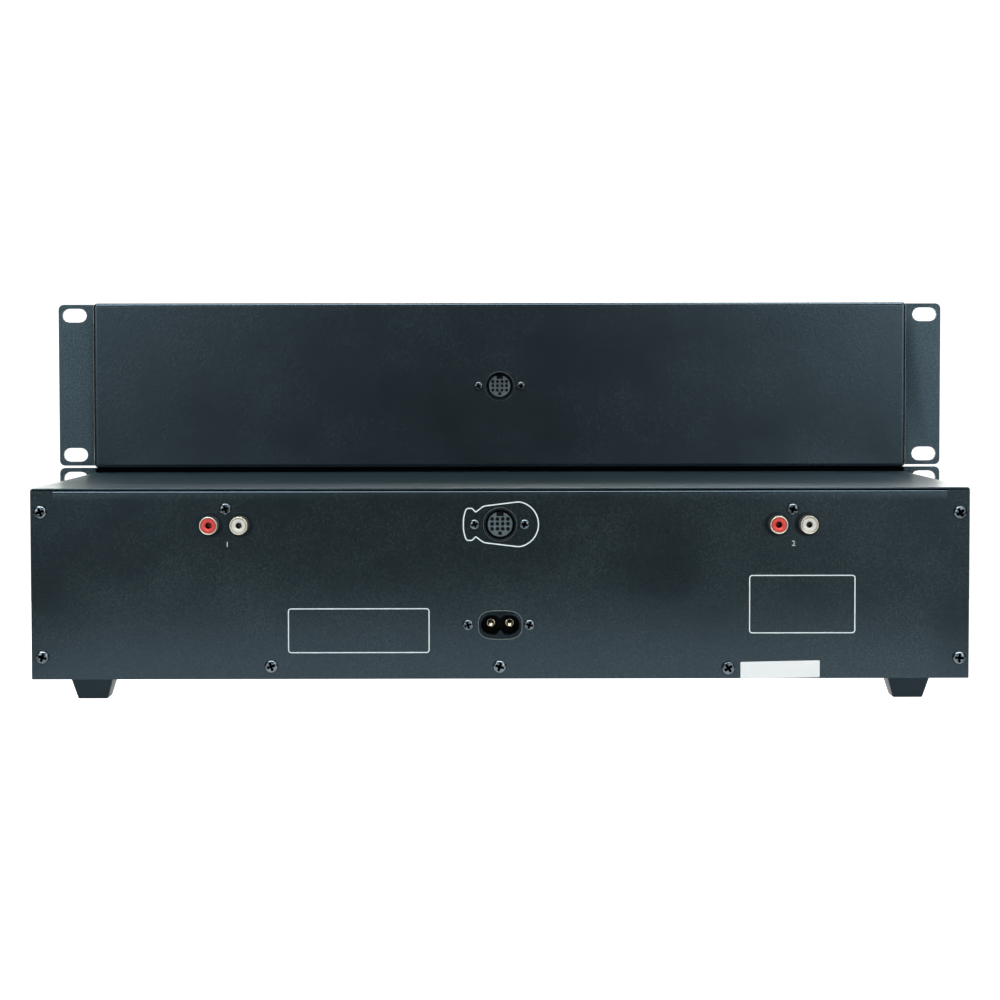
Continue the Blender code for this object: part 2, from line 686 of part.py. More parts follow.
def make_drive_panel():
    loops = []
    for x in LOADERS.values():
        loops.append(rounded_loop((x, DOOR_Z), (DOOR_WIDTH + 2 * WINDOW_PLAY,
                                                DOOR_HEIGHT + 2 * WINDOW_PLAY), PANEL_CORNER / 2))
        loops.append(key_hole(x, FRONT_KEY_Z, OPEN_KEY_WIDTH, OPEN_KEY_HEIGHT))
    loops.append(key_hole(0, FRONT_KEY_Z, POWER_KEY_WIDTH, POWER_KEY_HEIGHT))
    make_rack_panel("drive_front_panel", DRIVE_PANEL_Z, loops)


def make_foot(name, x, y):
    """A block that narrows towards the ground."""
    shape = bmesh.new()
    corners = block(shape, around(x, FOOT_WIDTH), around(y, FOOT_DEPTH), (0, FOOT_HEIGHT))
    for corner in corners:
        if corner.co.z < FOOT_HEIGHT / 2:
            corner.co.x = x + (corner.co.x - x) * FOOT_TAPER_SHARE
            corner.co.y = y + (corner.co.y - y) * FOOT_TAPER_SHARE
    add_part(name, shape, RUBBER)


def make_feet():
    for end, y in (("front", PANEL_BACK + FOOT_INSET), ("rear", REAR - FOOT_INSET)):
        for side, x in (("left", -FOOT_SPACING / 2), ("right", FOOT_SPACING / 2)):
            make_foot(f"foot_{end}_{side}", x, y)


# Rear sockets

def make_line_out(name, x):
    """Two phono sockets on one moulded block."""
    face = REAR - SHEET - GAP
    shape = bmesh.new()
    block(shape, around(x, JACK_BLOCK_WIDTH), (face - JACK_BLOCK_DEPTH, face),
          (SOCKET_Z - JACK_SEAT, SOCKET_Z - JACK_SEAT + JACK_BLOCK_HEIGHT))
    part = add_part(name, shape, BLACK_PLASTIC)
    reach = JACK_REACH
    profile = [(0, reach - JACK_BORE_DEPTH), (JACK_BORE, reach - JACK_BORE_DEPTH), (JACK_BORE, reach),
               (JACK_RADIUS, reach), (JACK_RADIUS, GAP), (JACK_COLLAR, GAP),
               (JACK_COLLAR, -SHEET - OVERRUN), (0, -SHEET - OVERRUN)]
    for side in (-1, 1):
        turned_join(part, profile, (x + side * JACK_PITCH / 2, REAR, SOCKET_Z), HOLE_SIDES, FACE_REAR)


def make_round_socket(name, face, z):
    """A 13-pin socket: its flange lies behind the sheet whose outer face is given."""
    seat = face - SHEET - GAP
    shape = bmesh.new()
    block(shape, around(0, ROUND_FLANGE_WIDTH), (seat - ROUND_FLANGE_THICKNESS, seat),
          around(z, ROUND_FLANGE_HEIGHT))
    socket = add_part(name, shape, BLACK_PLASTIC)
    reach = ROUND_SOCKET_REACH
    floor = reach - ROUND_SOCKET_DEPTH
    profile = [(0, reach - ROUND_SOCKET_SINK), (ROUND_SOCKET_CORE, reach - ROUND_SOCKET_SINK),
               (ROUND_SOCKET_CORE, floor), (ROUND_SOCKET_CAVITY, floor), (ROUND_SOCKET_CAVITY, reach),
               (ROUND_SOCKET_RING, reach), (ROUND_SOCKET_RING, -ROUND_BLOCK_DEPTH),
               (0, -ROUND_BLOCK_DEPTH)]
    solid = bmesh.new()
    rod(solid, (0, face - ROUND_BLOCK_DEPTH / 2, z), (0, seat + OVERRUN, z), ROUND_SOCKET_RING,
        ROUND_SIDES)
    well = bmesh.new()
    rod(well, (0, face - ROUND_BLOCK_DEPTH / 2 - OVERRUN, z), (0, face + OVERRUN, z),
        ROUND_SOCKET_RING - OVERRUN / 2, ROUND_SIDES)
    unite(socket, solid)
    cut(socket, well)
    turned_join(socket, profile, (0, face, z), ROUND_SIDES, FACE_REAR)


def make_inlet():
    """A figure-eight mains inlet: its flange lies behind the rear panel."""
    seat = REAR - SHEET - GAP
    floor = REAR - RECESS_DEPTH
    shape = bmesh.new()
    block(shape, around(0, INLET_FLANGE_WIDTH), (seat - INLET_FLANGE_THICKNESS, seat),
          around(INLET_Z, INLET_FLANGE_HEIGHT))
    inlet = add_part("mains_inlet", shape, BLACK_PLASTIC)
    snout = bmesh.new()
    plate(snout, [rounded_loop((0, INLET_Z), (INLET_WIDTH, INLET_HEIGHT), INLET_CORNER)],
          (REAR - INLET_DEPTH, REAR), 'Y')
    unite(inlet, snout)
    recess = bmesh.new()
    plate(recess, [waisted_loop((0, INLET_Z), RECESS_WIDTH, RECESS_HEIGHT, RECESS_WAIST)],
          (floor, REAR + OVERRUN), 'Y')
    cut(inlet, recess)
    pins = bmesh.new()
    for side in (-1, 1):
        x = side * INLET_PIN_PITCH / 2
        rod(pins, (x, floor - OVERRUN, INLET_Z), (x, floor + INLET_PIN_LENGTH, INLET_Z),
            INLET_PIN_RADIUS, HOLE_SIDES // 2)
    unite(inlet, pins)


# Boards and transformer

def board_posts(shape, spots, span):
    for x, y in spots:
        rod(shape, (x, y, span[0]), (x, y, span[1]), POST_RADIUS, HOLE_SIDES // 2)


def make_main_board():
    rear = REAR - MAIN_BOARD_SETBACK
    front = rear - MAIN_BOARD_DEPTH
    shape = bmesh.new()
    block(shape, around(0, MAIN_BOARD_WIDTH), (front, rear), (MAIN_BOARD, MAIN_BOARD + BOARD_THICKNESS))
    board = add_part("main_board", shape, BOARD_GREEN)
    extras = bmesh.new()
    edge = MAIN_BOARD_WIDTH / 2 - POST_INSET
    spots = [(x, y) for x in (-edge, edge) for y in (front + POST_INSET, rear - POST_INSET)]
    board_posts(extras, spots, (FLOOR + GAP, MAIN_BOARD + BOARD_THICKNESS / 2))
    for x in LOADERS.values():
        for shift in (-CHIP_WIDTH, CHIP_WIDTH):
            block(extras, around(x + shift, CHIP_WIDTH),
                  (front + POST_INSET, front + POST_INSET + CHIP_DEPTH),
                  (MAIN_BOARD + BOARD_THICKNESS / 2, MAIN_BOARD + BOARD_THICKNESS + CHIP_HEIGHT))
    unite(board, extras)


def make_power_board():
    rear = REAR - POWER_BOARD_SETBACK
    front = rear - POWER_BOARD_DEPTH
    low = FLOOR + POWER_BOARD_RISE
    shape = bmesh.new()
    block(shape, around(0, POWER_BOARD_WIDTH), (front, rear), (low, low + BOARD_THICKNESS))
    board = add_part("power_board", shape, BOARD_GREEN)
    extras = bmesh.new()
    edge = POWER_BOARD_WIDTH / 2 - POST_INSET
    spots = [(x, y) for x in (-edge, edge) for y in (front + POST_INSET, rear - POST_INSET)]
    board_posts(extras, spots, (FLOOR + GAP, low + BOARD_THICKNESS / 2))
    inside = low + BOARD_THICKNESS / 2
    row = front + 2 * POST_INSET + CAPACITOR_RADIUS
    for side in (-1, 1):
        x = side * (CAPACITOR_RADIUS + POST_INSET)
        rod(extras, (x, row, inside), (x, row, low + BOARD_THICKNESS + CAPACITOR_HEIGHT),
            CAPACITOR_RADIUS)
    sink_front = row + CAPACITOR_RADIUS + POST_INSET
    block(extras, around(0, POWER_BOARD_WIDTH - 2 * SINK_INSET), (sink_front, sink_front + SINK_DEPTH),
          (inside, low + BOARD_THICKNESS + SINK_HEIGHT))
    unite(board, extras)


def make_transformer():
    """A laminated core around a coil, standing on the base."""
    y = PANEL_BACK + CORE_INSET
    shape = bmesh.new()
    block(shape, around(0, CORE_WIDTH), around(y, CORE_DEPTH), (FLOOR + GAP, FLOOR + GAP + CORE_HEIGHT))
    transformer = add_part("mains_transformer", shape, CORE_STEEL)
    coil = bmesh.new()
    block(coil, around(0, CORE_WIDTH * COIL_SHARE), around(y, COIL_DEPTH),
          around(FLOOR + GAP + CORE_HEIGHT / 2, COIL_HEIGHT))
    unite(transformer, coil)


# Keys and buttons

def make_key(name, x, z, width, height, look, stem_end):
    """A cap through the panel, a rim that keeps it in, and a stem towards its switch."""
    shape = bmesh.new()
    block(shape, around(x, width), (PANEL_FRONT - KEY_REACH, PANEL_BACK + GAP + KEY_RIM_THICKNESS),
          around(z, height))
    origin = (x, PANEL_FRONT, z)
    key = add_part(name, shape, look, origin)
    round_edges(key, KEY_ROUNDING)
    rim = bmesh.new()
    block(rim, around(x, width + 2 * (PLAY + KEY_RIM)),
          (PANEL_BACK + GAP, PANEL_BACK + GAP + 2 * KEY_RIM_THICKNESS),
          around(z, height + 2 * (PLAY + KEY_RIM)))
    unite(key, rim)
    stem = bmesh.new()
    rod(stem, (x, PANEL_BACK + GAP + KEY_RIM_THICKNESS, z), (x, stem_end, z), KEY_STEM / 2,
        HOLE_SIDES // 2)
    unite(key, stem)


def make_drive_buttons():
    stem_end = PANEL_BACK + LOADER_SETBACK - KEY_TRAVEL
    for side, x in LOADERS.items():
        make_key(f"open_button_{side}", x, FRONT_KEY_Z, OPEN_KEY_WIDTH, OPEN_KEY_HEIGHT,
                 GREY_PLASTIC, stem_end)
    make_key("power_button", 0, FRONT_KEY_Z, POWER_KEY_WIDTH, POWER_KEY_HEIGHT, DARK_PLASTIC, stem_end)


# Disc loaders

def gear_loop():
    """Involute teeth, with one tooth centred on +X. Root, base, middle and tip radii make a flank."""
    base = GEAR_RADIUS * math.cos(PRESSURE_ANGLE)
    root = GEAR_RADIUS - DEDENDUM_SHARE * GEAR_MODULE
    tip = GEAR_RADIUS + ADDENDUM_SHARE * GEAR_MODULE

    def half_angle(radius):
        roll = math.acos(min(1, base / radius))
        pitch_half = math.pi / (2 * GEAR_TEETH) - TOOTH_PLAY / (2 * GEAR_RADIUS)
        return (pitch_half + math.tan(PRESSURE_ANGLE) - PRESSURE_ANGLE) - (math.tan(roll) - roll)

    rise = [root] + [base + (tip - base) * step / (FLANK_POINTS - 2) for step in range(FLANK_POINTS - 1)]
    points = []
    for tooth in range(GEAR_TEETH):
        middle = math.tau * tooth / GEAR_TEETH
        flank = [(radius, half_angle(radius)) for radius in rise]
        corners = [(radius, middle - half) for radius, half in flank]
        corners += [(radius, middle + half) for radius, half in reversed(flank)]
        points += [(radius * math.cos(angle), radius * math.sin(angle)) for radius, angle in corners]
    return points


def rack_loop(x):
    """Straight teeth that face -X. A space is level with the gear's axis, where a tooth points."""
    pitch_half = TOOTH_PITCH / 4 - TOOTH_PLAY / 2
    tip_x = x + RACK_X - ADDENDUM_SHARE * GEAR_MODULE
    root_x = x + RACK_X + DEDENDUM_SHARE * GEAR_MODULE
    tip_half = pitch_half - ADDENDUM_SHARE * GEAR_MODULE * math.tan(PRESSURE_ANGLE)
    root_half = pitch_half + DEDENDUM_SHARE * GEAR_MODULE * math.tan(PRESSURE_ANGLE)
    back_x = x + RACK_X + RACK_BACK
    first = GEAR_Y - 1.5 * TOOTH_PITCH
    points = [(back_x, first - TOOTH_PITCH / 2), (root_x, first - TOOTH_PITCH / 2)]
    for tooth in range(RACK_TEETH):
        y = first + tooth * TOOTH_PITCH
        points += [(root_x, y - root_half), (tip_x, y - tip_half),
                   (tip_x, y + tip_half), (root_x, y + root_half)]
    last = first + (RACK_TEETH - 1) * TOOTH_PITCH + TOOTH_PITCH / 2
    points += [(root_x, last), (back_x, last)]
    return points


def loader_section():
    """Half of the loader's section, as seen from the front: a wall, a ledge and the deck."""
    inner, outer = LOADER_INNER, LOADER_OUTER
    top = TRAY_TOP + BRIDGE_RISE
    ledge = TRAY - GAP
    ledge_inner = inner - LEDGE_WIDTH
    return [(outer, FLOOR + GAP), (outer, top), (inner, top), (inner, ledge), (ledge_inner, ledge),
            (ledge_inner, ledge - LEDGE_THICKNESS), (inner, ledge - LEDGE_THICKNESS),
            (inner, DECK_TOP), (-inner, DECK_TOP), (-inner, ledge - LEDGE_THICKNESS),
            (-ledge_inner, ledge - LEDGE_THICKNESS), (-ledge_inner, ledge), (-inner, ledge),
            (-inner, top), (-outer, top), (-outer, FLOOR + GAP), (-inner, FLOOR + GAP),
            (-inner, DECK), (inner, DECK), (inner, FLOOR + GAP)]


def make_loader_frame(side, x):
    rear = LOADER_FRONT + LOADER_LENGTH
    window_half = PICKUP_WIDTH / 2 + PICKUP_PLAY
    shape = bmesh.new()
    plate(shape, [[(x + across, up) for across, up in loader_section()]], (LOADER_FRONT, rear), 'Y')
    frame = add_part(f"loader_frame_{side}", shape, DARK_PLASTIC)
    tabs = bmesh.new()
    for hand in (-1, 1):
        inner = x + hand * (LOADER_INNER - LEDGE_WIDTH)
        outer = x + hand * (LOADER_INNER + LOADER_WALL / 2)
        block(tabs, sorted((inner, outer)), (LOADER_FRONT, LOADER_FRONT + TAB_LENGTH),
              (TRAY_TOP + PLAY, TRAY_TOP + PLAY + LEDGE_THICKNESS))
        ear = x + hand * (window_half + EAR_GAP)
        block(tabs, sorted((ear, ear + hand * EAR_THICKNESS)), around(HINGE_Y, 2 * EAR_HALF),
              (DECK + DECK_THICKNESS / 2, HINGE_Z + EAR_HALF))
    unite(frame, tabs)
    openings = bmesh.new()
    block(openings, around(x, 2 * window_half),
          (DISC_Y - PICKUP_FRONT - PICKUP_PLAY, HINGE_Y + HINGE_BEAM / 2 + PICKUP_PLAY),
          (DECK - OVERRUN, DECK_TOP + OVERRUN))
    rod(openings, (x + GEAR_X, GEAR_Y, DECK - OVERRUN), (x + GEAR_X, GEAR_Y, DECK_TOP + OVERRUN),
        GEAR_SHAFT + PLAY)
    cut(frame, openings)
    pin_holes = bmesh.new()
    pin_hole(pin_holes, x, window_half + EAR_GAP + EAR_THICKNESS + OVERRUN, HINGE_PIN + GAP)
    cut(frame, pin_holes)


def pin_hole(shape, x, reach, radius):
    rod(shape, (x - reach, HINGE_Y, HINGE_Z), (x + reach, HINGE_Y, HINGE_Z), radius)


def make_tray(side, x):
    rear = TRAY_FRONT + TRAY_LENGTH
    shape = bmesh.new()
    block(shape, around(x, TRAY_WIDTH), (TRAY_FRONT, rear), (TRAY, TRAY_TOP))
    tray = add_part(f"tray_{side}", shape, DARK_PLASTIC, (x, TRAY_FRONT, TRAY))
    teeth = bmesh.new()
    plate(teeth, [rack_loop(x)], (TRAY - RACK_DROP, TRAY + OVERRUN), 'Z')
    unite(tray, teeth)
    recess = bmesh.new()
    rod(recess, (x, DISC_Y, TRAY_TOP - DISC_RECESS_DEPTH), (x, DISC_Y, TRAY_TOP + OVERRUN),
        DISC_RECESS, WHEEL_SIDES)
    cut(tray, recess)
    small_recess = bmesh.new()
    rod(small_recess, (x, DISC_Y, TRAY_TOP - SMALL_RECESS_DEPTH), (x, DISC_Y, TRAY_TOP + OVERRUN),
        SMALL_RECESS, WHEEL_SIDES)
    cut(tray, small_recess)
    slot_end = rear + OVERRUN + TRAY_SLOT
    slot = bmesh.new()
    plate(slot, [rounded_loop((x, (DISC_Y - TRAY_SLOT + slot_end) / 2),
                              (2 * TRAY_SLOT, slot_end - DISC_Y + TRAY_SLOT), TRAY_SLOT)],
          (TRAY - OVERRUN, TRAY_TOP + OVERRUN), 'Z')
    cut(tray, slot)


def make_tray_door(side, x):
    back = PANEL_BACK - GAP
    shape = bmesh.new()
    block(shape, around(x, DOOR_WIDTH), (PANEL_FRONT - DOOR_PROUD, back), around(DOOR_Z, DOOR_HEIGHT))
    door = add_part(f"tray_door_{side}", shape, BLACK_PANEL, (x, PANEL_FRONT, DOOR_Z))
    round_edges(door, DOOR_ROUNDING)


def make_loading_gear(side, x):
    low = GEAR_TOP - GEAR_THICKNESS
    centre = (x + GEAR_X, GEAR_Y, DECK_TOP)
    shape = bmesh.new()
    plate(shape, [[(centre[0] + across, centre[1] + along) for across, along in gear_loop()]],
          (low, GEAR_TOP), 'Z')
    gear = add_part(f"loading_gear_{side}", shape, WHITE_PLASTIC, centre)
    shaft = [(0, GEAR_TOP - GEAR_THICKNESS / 2), (GEAR_HUB, GEAR_TOP - GEAR_THICKNESS / 2),
             (GEAR_HUB, DECK_TOP + GAP), (GEAR_SHAFT, DECK_TOP + GAP),
             (GEAR_SHAFT, DECK - GAP - SHAFT_DEPTH), (0, DECK - GAP - SHAFT_DEPTH)]
    turned_join(gear, shaft, (centre[0], centre[1], 0), HOLE_SIDES, 0)


def make_loading_motor(side, x):
    top = DECK - GAP
    bore = GEAR_SHAFT + GAP
    floor = top - SHAFT_DEPTH - GAP
    profile = [(0, floor), (bore, floor), (bore, top), (MOTOR_RADIUS, top),
               (MOTOR_RADIUS, top - MOTOR_LENGTH), (0, top - MOTOR_LENGTH)]
    turned(f"loading_motor_{side}", profile, ZINC, (x + GEAR_X, GEAR_Y, 0))


def make_pickup_frame(side, x):
    hinge_half = PICKUP_WIDTH / 2 + PICKUP_PLAY + EAR_GAP
    shape = bmesh.new()
    block(shape, around(x, PICKUP_WIDTH), (DISC_Y - PICKUP_FRONT, HINGE_Y), (PICKUP, PICKUP_TOP))
    frame = add_part(f"pickup_frame_{side}", shape, ZINC, (x, HINGE_Y, HINGE_Z))
    fixed = bmesh.new()
    rod(fixed, (x, DISC_Y, PICKUP + PICKUP_THICKNESS / 2), (x, DISC_Y, SPINDLE_TOP), SPINDLE_RADIUS,
        ROUND_SIDES)
    block(fixed, around(x, 2 * (hinge_half - BEAM_GAP)), around(HINGE_Y, HINGE_BEAM),
          (PICKUP, HINGE_Z + HINGE_BEAM / 2))
    unite(frame, fixed)
    front_post = DISC_Y + FRONT_POST_REACH
    rear_post = SLED_REAR - POST_LENGTH / 2
    posts = bmesh.new()
    for hand in (-1, 1):
        for y in (front_post, rear_post):
            block(posts, around(x + hand * ROD_SPACING / 2, POST_WIDTH), around(y, POST_LENGTH),
                  (PICKUP + PICKUP_THICKNESS / 2, ROD_Z + 2 * ROD_RADIUS))
    unite(frame, posts)
    rods = bmesh.new()
    for hand in (-1, 1):
        rod_x = x + hand * ROD_SPACING / 2
        rod(rods, (rod_x, front_post, ROD_Z), (rod_x, rear_post, ROD_Z), ROD_RADIUS, HOLE_SIDES // 2)
    pin_hole(rods, x, hinge_half + EAR_THICKNESS - BEAM_GAP, HINGE_PIN)
    unite(frame, rods)
    openings = bmesh.new()
    rod(openings, (x, DISC_Y, SPINDLE_TOP - SPINDLE_DEPTH - GAP), (x, DISC_Y, SPINDLE_TOP + OVERRUN),
        SPINDLE_SHAFT + GAP)
    block(openings, around(x, SLED_WIDTH - POST_WIDTH), (SLED_FRONT, rear_post - POST_LENGTH),
          (PICKUP - OVERRUN, PICKUP_TOP + OVERRUN))
    cut(frame, openings)


def make_turntable(side, x):
    profile = [(0, CENTRING_HEIGHT), (CENTRING_RADIUS, CENTRING_HEIGHT), (CENTRING_RADIUS, 0),
               (PLATTER_RADIUS, 0), (PLATTER_RADIUS, -PLATTER_THICKNESS),
               (PLATTER_HUB, -PLATTER_THICKNESS), (PLATTER_HUB, GAP - SPINDLE_DROP),
               (SPINDLE_SHAFT, GAP - SPINDLE_DROP), (SPINDLE_SHAFT, -SPINDLE_DROP - SPINDLE_DEPTH),
               (0, -SPINDLE_DROP - SPINDLE_DEPTH)]
    turned(f"turntable_{side}", profile, DARK_PLASTIC, (x, DISC_Y, DISC_Z))


def make_laser_sled(side, x):
    low = PICKUP_TOP + SLED_RISE
    span = (SLED_FRONT, SLED_FRONT + SLED_LENGTH)
    middle = (span[0] + span[1]) / 2
    shape = bmesh.new()
    block(shape, around(x, SLED_WIDTH), span, (low, low + SLED_HEIGHT))
    sled = add_part(f"laser_sled_{side}", shape, BLACK_PLASTIC, (x, middle, ROD_Z))
    lens = bmesh.new()
    rod(lens, (x, middle, low + SLED_HEIGHT / 2), (x, middle, low + SLED_HEIGHT + LENS_RISE), LENS_RADIUS)
    unite(sled, lens)
    bores = bmesh.new()
    for hand in (-1, 1):
        rod_x = x + hand * ROD_SPACING / 2
        rod(bores, (rod_x, span[0] - OVERRUN, ROD_Z), (rod_x, span[1] + OVERRUN, ROD_Z),
            ROD_RADIUS + GAP, HOLE_SIDES // 2)
    cut(sled, bores)


def make_clamp_bridge(side, x):
    outline = rounded_loop((x, DISC_Y), (2 * LOADER_OUTER, BRIDGE_WIDTH), PANEL_CORNER)
    shape = bmesh.new()
    plate(shape, [outline, round_loop((x, DISC_Y), PUCK_NECK + PLAY, ROUND_SIDES)],
          (BRIDGE, BRIDGE_TOP), 'Z')
    add_part(f"clamp_bridge_{side}", shape, ZINC)


def make_clamp_puck(side, x):
    """Hangs on the bridge by its flange, and clears the turntable's centring boss."""
    low = PUCK_LIFT
    recess = CENTRING_RADIUS + OVERRUN
    seat = BRIDGE_TOP + GAP - DISC_Z
    profile = [(0, seat + PUCK_FLANGE_THICKNESS), (PUCK_FLANGE, seat + PUCK_FLANGE_THICKNESS),
               (PUCK_FLANGE, seat), (PUCK_NECK, seat), (PUCK_NECK, low + PUCK_THICKNESS),
               (PUCK_RADIUS, low + PUCK_THICKNESS), (PUCK_RADIUS, low), (recess, low),
               (recess, CENTRING_HEIGHT + GAP), (0, CENTRING_HEIGHT + GAP)]
    turned(f"clamp_puck_{side}", profile, BLACK_PLASTIC, (x, DISC_Y, DISC_Z))


def make_loader(side, x):
    make_loader_frame(side, x)
    make_tray(side, x)
    make_tray_door(side, x)
    make_loading_gear(side, x)
    make_loading_motor(side, x)
    make_pickup_frame(side, x)
    make_turntable(side, x)
    make_laser_sled(side, x)
    make_clamp_bridge(side, x)
    make_clamp_puck(side, x)


# Control unit

def make_control_panel():
    loops = []
    for x in DECKS.values():
        loops.append(rounded_loop((x + DISPLAY_X, CONTROL_Z + DISPLAY_Z),
                                  (DISPLAY_WIDTH, DISPLAY_HEIGHT), DISPLAY_CORNER))
        loops.append(round_loop((x + JOG_X, CONTROL_Z + JOG_Z), JOG_HOLE))
        slot_height = 2 * FADER_TRAVEL + FADER_STEM_HEIGHT + 2 * OVERRUN
        loops.append(rounded_loop((x + FADER_X, CONTROL_Z), (FADER_SLOT, slot_height), FADER_SLOT / 3))
        loops.append(key_hole(x + CUE_X, CONTROL_Z + BIG_KEY_Z, BIG_KEY_WIDTH, BIG_KEY_HEIGHT))
        loops.append(key_hole(x + PLAY_X, CONTROL_Z + BIG_KEY_Z, BIG_KEY_WIDTH, BIG_KEY_HEIGHT))
        loops.append(key_hole(x + SMALL_KEY_X, CONTROL_Z + SMALL_KEY_Z, SMALL_KEY_WIDTH,
                              SMALL_KEY_HEIGHT))
        for rocker_x in (TRACK_X, BEND_X):
            loops.append(key_hole(x + rocker_x, CONTROL_Z + SMALL_KEY_Z, ROCKER_WIDTH, ROCKER_HEIGHT,
                                  ROCKER_PLAY))
    make_rack_panel("control_panel", CONTROL_Z, loops)


def make_control_box():
    box = wall_turned((around(0, BODY_WIDTH), (PANEL_BACK + GAP, BOX_REAR), around(CONTROL_Z, BOX_HEIGHT)),
                      [(0, -1, 0)], SHEET, "control_box", BLACK_STEEL)
    hole = bmesh.new()
    rod(hole, (0, BOX_REAR - SHEET - OVERRUN, LINK_Z), (0, BOX_REAR + OVERRUN, LINK_Z),
        ROUND_SOCKET_RING + GAP, ROUND_SIDES)
    cut(box, hole)


def make_rest_pads():
    """Two thin strips between the lid and the control unit's box."""
    top = CONTROL_Z - BOX_HEIGHT / 2 - GAP
    for side, x in (("left", -PAD_SPACING / 2), ("right", PAD_SPACING / 2)):
        shape = bmesh.new()
        block(shape, around(x, PAD_WIDTH), around((PANEL_BACK + BOX_REAR) / 2, PAD_DEPTH),
              (LID + GAP, top))
        add_part(f"rest_pad_{side}", shape, RUBBER)


def make_control_board():
    """The board with its display modules, encoders, faders and switches."""
    face = CONTROL_BOARD
    shape = bmesh.new()
    block(shape, around(0, CONTROL_BOARD_WIDTH), (face, face + BOARD_THICKNESS),
          around(CONTROL_Z, CONTROL_BOARD_HEIGHT))
    board = add_part("control_board", shape, BOARD_GREEN)
    extras = bmesh.new()
    inside = face + BOARD_THICKNESS / 2
    window_back = PANEL_BACK + GAP + DISPLAY_EDGE
    for x in DECKS.values():
        block(extras, around(x + DISPLAY_X, DISPLAY_WIDTH * DISPLAY_MODULE_SHARE),
              (window_back + GAP, inside),
              around(CONTROL_Z + DISPLAY_Z, DISPLAY_HEIGHT * DISPLAY_MODULE_SHARE))
        rod(extras, (x + JOG_X, face - ENCODER_LENGTH, CONTROL_Z + JOG_Z),
            (x + JOG_X, inside, CONTROL_Z + JOG_Z), ENCODER_RADIUS)
        fader_height = 2 * FADER_TRAVEL + FADER_STEM_HEIGHT + 2 * OVERRUN
        block(extras, around(x + FADER_X, FADER_BODY_WIDTH), (face - FADER_BODY_THICKNESS, inside),
              around(CONTROL_Z, fader_height))
        for key_x, key_z in ((CUE_X, BIG_KEY_Z), (PLAY_X, BIG_KEY_Z), (SMALL_KEY_X, SMALL_KEY_Z),
                             (TRACK_X, SMALL_KEY_Z), (BEND_X, SMALL_KEY_Z)):
            block(extras, around(x + key_x, SWITCH_SIZE), (switch_face(), inside),
                  around(CONTROL_Z + key_z, SWITCH_SIZE))
    for side in (-1, 1):
        for level in (-1, 1):
            post_x = side * (CONTROL_BOARD_WIDTH / 2 - CONTROL_POST_INSET)
            post_z = CONTROL_Z + level * (CONTROL_BOARD_HEIGHT / 2 - POST_RADIUS - OVERRUN)
            rod(extras, (post_x, PANEL_BACK + GAP, post_z), (post_x, inside, post_z), POST_RADIUS,
                HOLE_SIDES // 2)
    unite(board, extras)
    bores = bmesh.new()
    for x in DECKS.values():
        bore_end = face - ENCODER_LENGTH + JOG_SHAFT_DEPTH + GAP
        rod(bores, (x + JOG_X, face - ENCODER_LENGTH - OVERRUN, CONTROL_Z + JOG_Z),
            (x + JOG_X, bore_end, CONTROL_Z + JOG_Z), JOG_SHAFT + GAP)
    cut(board, bores)


def switch_face():
    """The front of the switches: half-way between the panel and the board."""
    return (PANEL_BACK + CONTROL_BOARD) / 2


def make_display_window(side, x):
    """A clear pane in the panel's opening, with a rim behind it."""
    z = CONTROL_Z + DISPLAY_Z
    shape = bmesh.new()
    block(shape, around(x + DISPLAY_X, DISPLAY_WIDTH + 2 * DISPLAY_EDGE),
          (PANEL_BACK + GAP, PANEL_BACK + GAP + DISPLAY_EDGE), around(z, DISPLAY_HEIGHT + 2 * DISPLAY_EDGE))
    window = add_part(f"display_window_{side}", shape, SMOKED)
    pane = bmesh.new()
    plate(pane, [rounded_loop((x + DISPLAY_X, z), (DISPLAY_WIDTH - 2 * GAP, DISPLAY_HEIGHT - 2 * GAP),
                              DISPLAY_CORNER - GAP)],
          (PANEL_FRONT, PANEL_BACK + GAP + DISPLAY_RIM), 'Y')
    unite(window, pane)


def make_jog_wheel(side, x):
    """A stepped wheel with a finger dimple at the top, on a shaft through the panel."""
    centre = (x + JOG_X, PANEL_FRONT, CONTROL_Z + JOG_Z)
    shaft_end = CONTROL_BOARD - ENCODER_LENGTH + JOG_SHAFT_DEPTH - PANEL_FRONT
    profile = [(0, JOG_REACH), (JOG_RADIUS - JOG_STEP_INSET, JOG_REACH), (JOG_RADIUS, JOG_REACH - JOG_STEP),
               (JOG_RADIUS, JOG_LIFT), (JOG_SHAFT, JOG_LIFT), (JOG_SHAFT, -shaft_end), (0, -shaft_end)]
    wheel = turned(f"jog_wheel_{side}", profile, DARK_PLASTIC, centre, WHEEL_SIDES, FACE_FRONT)
    dimple = bmesh.new()
    sink = DIMPLE_RADIUS - DIMPLE_DEPTH
    place = Matrix.Translation((centre[0], PANEL_FRONT - JOG_REACH - sink,
                                centre[2] + JOG_RADIUS * DIMPLE_REACH_SHARE))
    bmesh.ops.create_uvsphere(dimple, u_segments=HOLE_SIDES, v_segments=HOLE_SIDES // 2,
                              radius=DIMPLE_RADIUS, matrix=place)
    cut(wheel, dimple)


